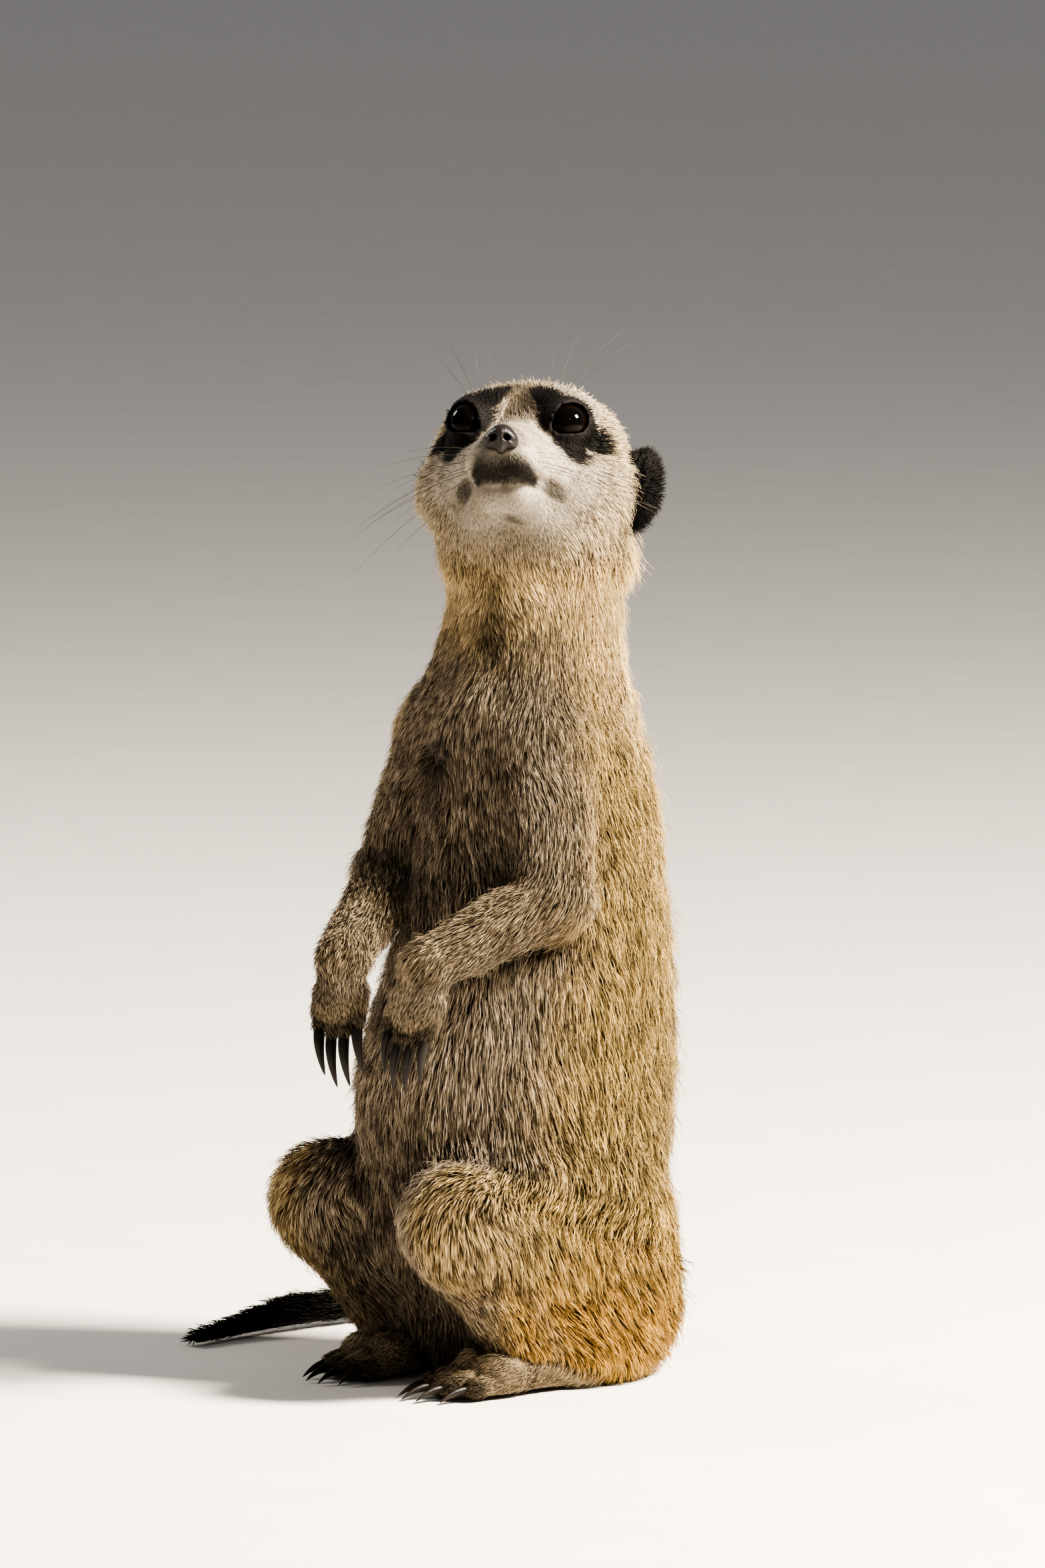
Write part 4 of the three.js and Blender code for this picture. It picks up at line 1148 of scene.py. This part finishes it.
def groomed(p, normals):
    """For roots on the skin: the part each lies on, the lie of its hair and its groom values."""
    fields = body_parts(p)
    names = list(fields)
    table = np.stack([fields[name] for name in names], axis=1)
    nearest = table.min(axis=1, keepdims=True)
    weights = np.exp(-(table - nearest) / PART_SOFTNESS)
    weights /= weights.sum(axis=1, keepdims=True)
    flow, values = np.zeros_like(p), np.zeros((len(p), 5))
    for i, name in enumerate(names):
        hit = weights[:, i] > 0.01
        if hit.any():
            kind = name if name in GROOM else name.rpartition("_")[0]
            flow[hit] += weights[hit, i, None] * unit(part_flow(p[hit], name))
            values[hit] += weights[hit, i, None] * np.array(GROOM[kind])
    flow -= (flow * normals).sum(1, keepdims=True) * normals
    return np.array(names)[table.argmin(axis=1)], unit(flow), values


def local_groom(p, values):
    """Length, width, lift, density and locking at each place, shortened on the face and round the eyes."""
    q = to_head(p)
    length, width, lift, density, locking = values.T.copy()
    z, _, back, _, deep, _ = trunk_offset(p)
    front = smoothstep(-back / deep, -0.1, 0.75)
    on_head = smoothstep(z, 205, 222)
    upper = smoothstep(z, 140, 205) * (1 - on_head)
    length *= 1 - 0.18 * front * (1 - on_head) - 0.34 * upper
    width *= 1 - 0.36 * upper
    lift *= 1 - 0.25 * upper
    density *= 1 + 0.95 * upper
    face = smoothstep(q[:, 1], 14, -14) * on_head
    jowl = smoothstep(q[:, 1], 2, 14) * smoothstep(q[:, 2], 4, -8)
    jowl = jowl * smoothstep(np.abs(q[:, 0]), 10, 18) * on_head
    length *= 1 + 0.4 * jowl
    lift *= 1 + 0.5 * jowl
    length *= 1 - 0.62 * face
    width *= 1 - 0.25 * face
    density *= 1 + 0.5 * face
    for sign in SIDES.values():
        opening = lid_opening(q, sign)
        length *= np.where(q[:, 0] * sign > 0, smoothstep(opening, -2.5, 6.0), 1.0)
    return length, width, lift, density, locking


# ---- Tufts: closed, tapered and bent, with their roots in the skin

TUFTS = 232000
BENT_LENGTH = 4.2  # only tufts longer than this are bent
BENT_SHARE, UNSPIKED_SHARE = 0.26, 0.60  # of the tufts, those that may be bent, and those bent or ringed
STRAY_SHARE, STRAY_LIFT = 0.09, 13.0
LEADER_SPACING = 14
ROOT_DEPTH = 0.5
FLOOR_CLEAR = 0.25
UV_PATCH, UV_MARGIN = 0.003, 0.004


def roots_on_skin(count):
    """Random places on the skin, more where the coat is denser, none on bare skin or under the body."""
    a, b, c = (skin_vertices[skin_triangles[:, i]] for i in range(3))
    area = np.linalg.norm(np.cross(b - a, c - a), axis=1) / 2
    middle = (a + b + c) / 3
    facing = unit(np.cross(b - a, c - a))
    _, _, values = groomed(middle, facing)
    density = local_groom(middle, values)[3]
    hidden = (middle[:, 2] < 1.2) | ((middle[:, 2] < 5) & (facing[:, 2] < -0.7))
    q = to_head(middle)
    hidden |= (nose_shape(middle) < 0.5) & (np.abs(q[:, 0]) < 12)
    for sign in SIDES.values():
        hidden |= (lid_opening(q, sign) < 0.25) & (q[:, 0] * sign > 0) & (q[:, 1] < 6)
    weight = area * density * ~hidden
    chosen = np.searchsorted(np.cumsum(weight), (np.arange(count) + rng.random(count)) / count * weight.sum())
    chosen = np.minimum(chosen, len(area) - 1)
    s, t = rng.random((2, count, 1))
    flip = s + t > 1
    s, t = np.where(flip, 1 - s, s), np.where(flip, 1 - t, t)
    places = a[chosen] + s * (b - a)[chosen] + t * (c - a)[chosen]
    corner = skin_normals[skin_triangles[chosen]]
    normals = unit(corner[:, 0] + s * (corner[:, 1] - corner[:, 0]) + t * (corner[:, 2] - corner[:, 0]))
    return places, normals


def turned(flow, normals, angle):
    side = np.cross(normals, flow)
    return flow * np.cos(angle)[:, None] + side * np.sin(angle)[:, None]


def locked(places, tips, pull, spacing):
    """Tips drawn towards the tip of the nearest leading tuft, so that the coat falls into locks."""
    leaders = np.arange(0, len(places), spacing)
    tree = KDTree(len(leaders))
    for row, leader in enumerate(leaders):
        tree.insert(places[leader], row)
    tree.balance()
    lead = leaders[[tree.find(place)[1] for place in places]]
    drawn = tips[lead] - tips
    far = np.linalg.norm(drawn, axis=1)
    return tips + drawn * (pull * np.exp(-(far / 6.0) ** 2))[:, None]


def grow_coat(count):
    places, normals = roots_on_skin(count)
    part, flow, values = groomed(places, normals)
    length, width, lift, _, locking = local_groom(places, values)
    wander = 0.30 * lattice_noise(places, 16.0, 1) + 0.24 * lattice_noise(places, 5.5, 2)
    flow = turned(flow, normals, wander + rng.normal(0, 0.10, count))
    stray = rng.random(count) < STRAY_SHARE
    length = length * rng.uniform(0.7, 1.12, count) * np.where(stray, 1.12, 1.0)
    lift = np.radians(lift * rng.uniform(0.55, 1.3, count) + np.where(stray, STRAY_LIFT, 0.0))
    lift = lift * (1 + 0.35 * lattice_noise(places, 4.5, 3))
    width = width * rng.uniform(0.55, 1.15, count) * np.where(stray, 0.6, 1.0)
    rise = np.sin(lift) * length
    run = np.cos(lift) * length
    tips = places + flow * run[:, None] + normals * (0.72 * rise)[:, None]
    tips = locked(places, tips, locking * rng.uniform(0.5, 1.2, count), LEADER_SPACING)
    tone = np.clip(0.5 + 0.25 * rng.normal(size=count) + 0.28 * lattice_noise(places, 3.2, 4), 0.0, 1.0)
    tone = 0.5 + (tone - 0.5) * (1 - 0.5 * smoothstep(places[:, 2], 185, 215))
    draw = rng.random(count)
    kind = np.where(draw < UNSPIKED_SHARE, "ringed", "spike")
    kind = np.where((length > BENT_LENGTH) & (draw < BENT_SHARE), "bent", kind)
    return {"place": places, "normal": normals, "tip": tips, "rise": rise, "width": width,
            "part": part, "kind": kind, "tone": tone}


def along_tuft(coat, share):
    """Points at a share of the way from root to tip, arched over the skin."""
    start = coat["place"] - coat["normal"] * ROOT_DEPTH
    arch = 1.9 * share * (1 - share) * coat["rise"][:, None]
    return start + (coat["tip"] - start) * share + coat["normal"] * arch


def tuft_rings(coat, shares, widths):
    """Rings of three points across each tuft at the given shares of its length."""
    forward = unit(coat["tip"] - coat["place"])
    side = unit(np.cross(coat["normal"], forward))
    top = unit(np.cross(forward, side))
    rings = []
    for share, wide in zip(shares, widths):
        middle = along_tuft(coat, share)
        half = (0.5 * wide * coat["width"])[:, None]
        rings += [middle - side * half, middle + top * half * 0.75, middle + side * half]
    return np.stack(rings, axis=1)


# Each kind of tuft: shares of its length where its rings lie, their widths, and whether it has a root point.
TUFT_KINDS = {
    "bent": ((0.28, 0.68), (1.0, 0.72), True),
    "ringed": ((0.38,), (1.0,), True),
    "spike": ((0.06,), (1.05,), False),
}


def tuft_triangles(levels, rooted):
    """Triangles of one tuft: the root point if it has one, then the rings, then the tip."""
    first = int(rooted)
    faces = [(0, first + (k + 1) % 3, first + k) for k in range(3)] if rooted else [(0, 2, 1)]
    for level in range(levels - 1):
        for k in range(3):
            a, b = first + 3 * level + k, first + 3 * level + (k + 1) % 3
            faces += [(a, b, b + 3), (a, b + 3, a + 3)]
    last = first + 3 * (levels - 1)
    faces += [(last + k, last + (k + 1) % 3, first + 3 * levels) for k in range(3)]
    return np.array(faces)


def tuft_mesh(coat, shares, widths, rooted):
    """Points, triangles, and each point's share along its tuft and side across it, for a set of tufts."""
    count = len(coat["place"])
    root = [along_tuft(coat, 0.0)[:, None]] if rooted else []
    points = np.concatenate([*root, tuft_rings(coat, shares, widths), coat["tip"][:, None]], axis=1)
    points[:, :, 2] = np.maximum(points[:, :, 2], FLOOR_CLEAR)
    size = points.shape[1]
    faces = tuft_triangles(len(shares), rooted)[None] + (np.arange(count) * size)[:, None, None]
    along = np.tile([*[0.0] * rooted, *np.repeat(shares, 3), 1.0], count)
    across = np.tile([*[0.5] * rooted, *([0.0, 0.5, 1.0] * len(shares)), 0.5], count)
    return points.reshape(-1, 3), faces.reshape(-1, 3), along, across, size


def chart_lines():
    """The line that each kind of coat piece is unrolled about."""
    lines = {"trunk": np.stack([np.zeros(6), np.full(6, 3.0), np.linspace(0, 232, 6)], 1),
             "head": from_head([[0, 46, -6], [0, 20, -8], [0, 0, -12], [0, -27, -16]]),
             "tail": TAIL_POINTS[::4]}
    for side, limb in LIMBS.items():
        at = limb["at"]
        lines[f"arm_{side}"] = np.array([at["shoulder"], at["elbow"], at["wrist"], at["fingertip"]])
        lines[f"leg_{side}"] = np.array([at["hip"], at["knee"], at["heel"], at["toes"]])
    return lines


CHART_LINES = chart_lines()


def unrolled(p, line):
    """Each place's share along a line and its turn about it, both from 0 to 1: the skin laid out flat."""
    steps = np.diff(line, axis=0)
    run = np.append(0.0, np.cumsum(np.linalg.norm(steps, axis=1)))
    best, chart = np.full(len(p), np.inf), np.zeros((len(p), 2))
    for start, step, before in zip(line, steps, run):
        t = np.clip((p - start) @ step / (step @ step), 0, 1)
        off = p - start - t[:, None] * step
        distance = np.linalg.norm(off, axis=1)
        side = unit(np.cross(step, (0.31, 0.87, 0.38)))
        turn = np.arctan2(off @ side, off @ unit(np.cross(step, side))) / (2 * math.pi) + 0.5
        share = (before + t * np.linalg.norm(step)) / run[-1]
        closer = distance < best
        best[closer] = distance[closer]
        chart[closer] = np.stack([turn, share], 1)[closer]
    return chart


TRUNK_BANDS = (("rump", 50), ("belly", 88), ("waist", 122), ("chest", 160), ("shoulders", 196), ("neck", 400))


def coat_piece_names(coat):
    """The coat piece that each tuft belongs to."""
    part, place = coat["part"], coat["place"]
    names = np.full(len(part), "coat_tail", dtype="U24")
    trunk = part == "trunk"
    lowest = -100.0
    for band, top in TRUNK_BANDS:
        names[trunk & (place[:, 2] >= lowest) & (place[:, 2] < top)] = f"coat_{band}"
        lowest = top
    on_head = (part == "head") | np.isin(part, ["ear_left", "ear_right"])
    q = to_head(place)
    names[on_head] = np.where(q[on_head, 1] < 6, "coat_face", "coat_crown")
    for side in SIDES:
        names[np.isin(part, [f"{n}_{side}" for n in ("upper_arm", "forearm", "hand")])] = f"coat_arm_{side}"
        names[np.isin(part, [f"{n}_{side}" for n in ("thigh", "shank", "foot")])] = f"coat_leg_{side}"
    return names


def chart_of(name):
    kind = name.removeprefix("coat_")
    if kind in ("face", "crown"):
        return CHART_LINES["head"]
    return CHART_LINES.get(kind, CHART_LINES["trunk"])


def add_bake_map(piece, roots, across, along, triangles):
    """A UV map in which each tuft is a small patch at its root's place on the unrolled skin."""
    patch = np.stack([across - 0.5, along - 0.5], 1) * UV_PATCH
    uv = UV_MARGIN + (1 - 2 * UV_MARGIN) * roots + patch
    layer = piece.data.uv_layers.new(name="OFBake")
    layer.data.foreach_set("uv", uv[triangles.ravel()].astype(np.float32).ravel())


def picked(coat, rows):
    return {key: values[rows] for key, values in coat.items()}


def make_coat():
    coat = grow_coat(TUFTS)
    names = coat_piece_names(coat)
    for name in np.unique(names):
        parts = []
        for kind, (shares, widths, rooted) in TUFT_KINDS.items():
            rows = (names == name) & (coat["kind"] == kind)
            if rows.any():
                tufts = picked(coat, rows)
                points, faces, along, across, size = tuft_mesh(tufts, shares, widths, rooted)
                chart = unrolled(tufts["place"], chart_of(str(name)))
                parts.append((points, faces, along, across, np.repeat(chart, size, 0),
                              np.repeat(tufts["place"], size, 0), np.repeat(tufts["tone"], size)))
        starts = np.cumsum([0, *[len(part[0]) for part in parts[:-1]]])
        faces = np.vstack([part[1] + start for part, start in zip(parts, starts)])
        points, along, across, chart, roots, tone = (
            np.concatenate([part[i] for part in parts]) for i in (0, 2, 3, 4, 5, 6))
        piece = make_mesh(str(name), points, faces, COAT, "coat")
        add_bake_map(piece, chart, across, along, faces)
        give(piece, "along", along)
        give(piece, "tone", tone)
        for title, values in markings(roots).items():
            give(piece, title, values)


make_coat()


# ---- Whiskers: fine tapered hairs on the pads, brows and cheeks

WHISKER_SEGMENTS = 12
WHISKER_RADIUS, WHISKER_TIP, WHISKER_ROOT = 0.07, 0.02, 1.5


def whisker(root, direction, sag, length):
    """A hair that leaves its root in one direction and bends evenly to one side."""
    direction = unit(direction)
    side = unit(np.cross(direction, (0.2, 0.1, 1.0)))
    other = np.cross(direction, side)
    rings = []
    for share in np.linspace(0, 0.97, WHISKER_SEGMENTS):
        middle = root + length * (share * direction + share * share * sag)
        radius = WHISKER_RADIUS * (1 - share) ** 0.8 + WHISKER_TIP
        rings.append([middle + radius * (math.cos(t) * side + math.sin(t) * other)
                      for t in (0.0, 2 * math.pi / 3, 4 * math.pi / 3)])
    return rings_mesh(rings, root + length * (direction + sag))


def whisker_rows():
    """Each whisker of the left side: place in the head's frame, direction, bend and length."""
    rows = []
    for row in range(3):
        for column in range(3):
            place = (6.2 + 1.3 * column, -17.0 + 3.4 * column, -16.4 - 2.0 * row)
            direction = (1.0, -0.15 + 0.2 * column, 0.10 - 0.28 * row)
            rows.append((place, direction, (0.05, 0.28, -0.16), 25 + 4 * column))
    for number in range(4):
        direction = (0.05 + 0.22 * number, -0.25, 1.0)
        rows.append(((8.0 + 2.2 * number, 1.5, 9.0), direction, (0.1, 0.38, 0.02), 21 - 3 * (number % 2)))
    rows.append(((22.0, 14.0, -14.0), (1.0, 0.3, -0.15), (0.0, 0.2, -0.2), 26))
    rows.append(((16.0, 6.0, -21.0), (0.9, 0.1, -0.5), (0.0, 0.2, -0.1), 22))
    return rows


def make_whiskers():
    """The rows on the left and mirrored on the right, each hair a little off its row's direction."""
    vertices, triangles, start = [], [], 0
    for place, direction, sag, length in whisker_rows():
        for sign in SIDES.values():
            wobble = rng.normal(0, 0.09, 3)
            root = from_head(np.array(place) * (sign, 1, 1))[0]
            aim = HEAD_AXES @ (np.array(direction) * (sign, 1, 1) + wobble)
            bend = HEAD_AXES @ (np.array(sag) * (sign, 1, 1))
            grown = length * rng.uniform(0.8, 1.2)
            points, faces = whisker(root - unit(aim) * WHISKER_ROOT, aim, bend, grown)
            vertices.append(points)
            triangles.append(faces + start)
            start += len(points)
    make_mesh("whiskers", np.vstack(vertices), np.vstack(triangles), WHISKER, "dark_coat")


def whisker_material():
    material, tree, shader = principled("whisker_hair", 0.45, 0.4)
    tint = cloud(tree, object_place(tree), 90.0, 2.0)
    colour = mixed(tree, tint, (0.012, 0.009, 0.007, 1.0), (0.10, 0.075, 0.05, 1.0))
    tree.links.new(colour, shader.inputs["Base Color"])
    return material


WHISKER = whisker_material()
make_whiskers()


# ---- Stage: floor, light and camera

FLOOR_HALF = 60.0


def make_floor():
    corners = [(x * FLOOR_HALF, y * FLOOR_HALF, 0.0) for x, y in ((-1, -1), (1, -1), (1, 1), (-1, 1))]
    mesh = bpy.data.meshes.new("floor")
    mesh.from_pydata(corners, [], [(0, 1, 2, 3)])
    material, tree, shader = principled("floor_pale", 0.9, 0.2)
    grain = cloud(tree, object_place(tree), 40.0)
    colour = mixed(tree, grain, (0.62, 0.60, 0.57, 1.0), (0.68, 0.66, 0.63, 1.0))
    tree.links.new(colour, shader.inputs["Base Color"])
    mesh.materials.append(material)
    floor = bpy.data.objects.new("floor", mesh)
    bpy.context.scene.collection.objects.link(floor)


def make_light(name, energy, size, azimuth, elevation, colour):
    """A square lamp that faces the animal from the given direction."""
    place = CAMERA_TARGET + direction_at(azimuth, elevation) * LIGHT_DISTANCE
    lamp = bpy.data.lights.new(name, "AREA")
    lamp.energy, lamp.size, lamp.color = energy, size, colour
    holder = bpy.data.objects.new(name, lamp)
    bpy.context.scene.collection.objects.link(holder)
    holder.location = place
    holder.rotation_euler = (LIGHT_TARGET - place).to_track_quat("-Z", "Y").to_euler()


CAMERA_TARGET = Vector((0.0, 0.0, 0.1545))
CAMERA_AZIMUTH, CAMERA_ELEVATION = 50.0, 6.0
CAMERA_DISTANCE, CAMERA_LENS = 2.94, 260.0
LIGHT_TARGET, LIGHT_DISTANCE = Vector((0.0, 0.0, 0.15)), 1.5

# Each light: name, power, size, azimuth, elevation and colour.
LIGHTS = [
    ("key", 150.0, 0.32, 120, 40, (1.0, 0.90, 0.76)),
    ("front", 1.0, 0.25, 66, 34, (1.0, 1.0, 1.0)),
    ("rim", 11.0, 0.40, -75, 30, (1.0, 0.93, 0.84)),
]


def direction_at(azimuth, elevation):
    a, e = math.radians(azimuth), math.radians(elevation)
    return Vector((math.sin(a) * math.cos(e), -math.cos(a) * math.cos(e), math.sin(e)))


def make_camera():
    data = bpy.data.cameras.new("camera")
    data.lens = CAMERA_LENS
    data.sensor_width = 36.0
    camera = bpy.data.objects.new("camera", data)
    bpy.context.scene.collection.objects.link(camera)
    toward = direction_at(CAMERA_AZIMUTH, CAMERA_ELEVATION)
    camera.location = CAMERA_TARGET + toward * CAMERA_DISTANCE
    camera.rotation_euler = (-toward).to_track_quat("-Z", "Y").to_euler()
    bpy.context.scene.camera = camera


def make_world():
    world = bpy.data.worlds.new("studio")
    world.use_nodes = True
    background = world.node_tree.nodes["Background"]
    background.inputs["Color"].default_value = (0.82, 0.82, 0.84, 1.0)
    background.inputs["Strength"].default_value = 0.33
    bpy.context.scene.world = world


make_floor()
make_world()
make_camera()
for lamp_row in LIGHTS:
    make_light(*lamp_row)
bpy.context.scene.view_settings.view_transform = "AgX"
bpy.context.scene.view_settings.look = "AgX - High Contrast"
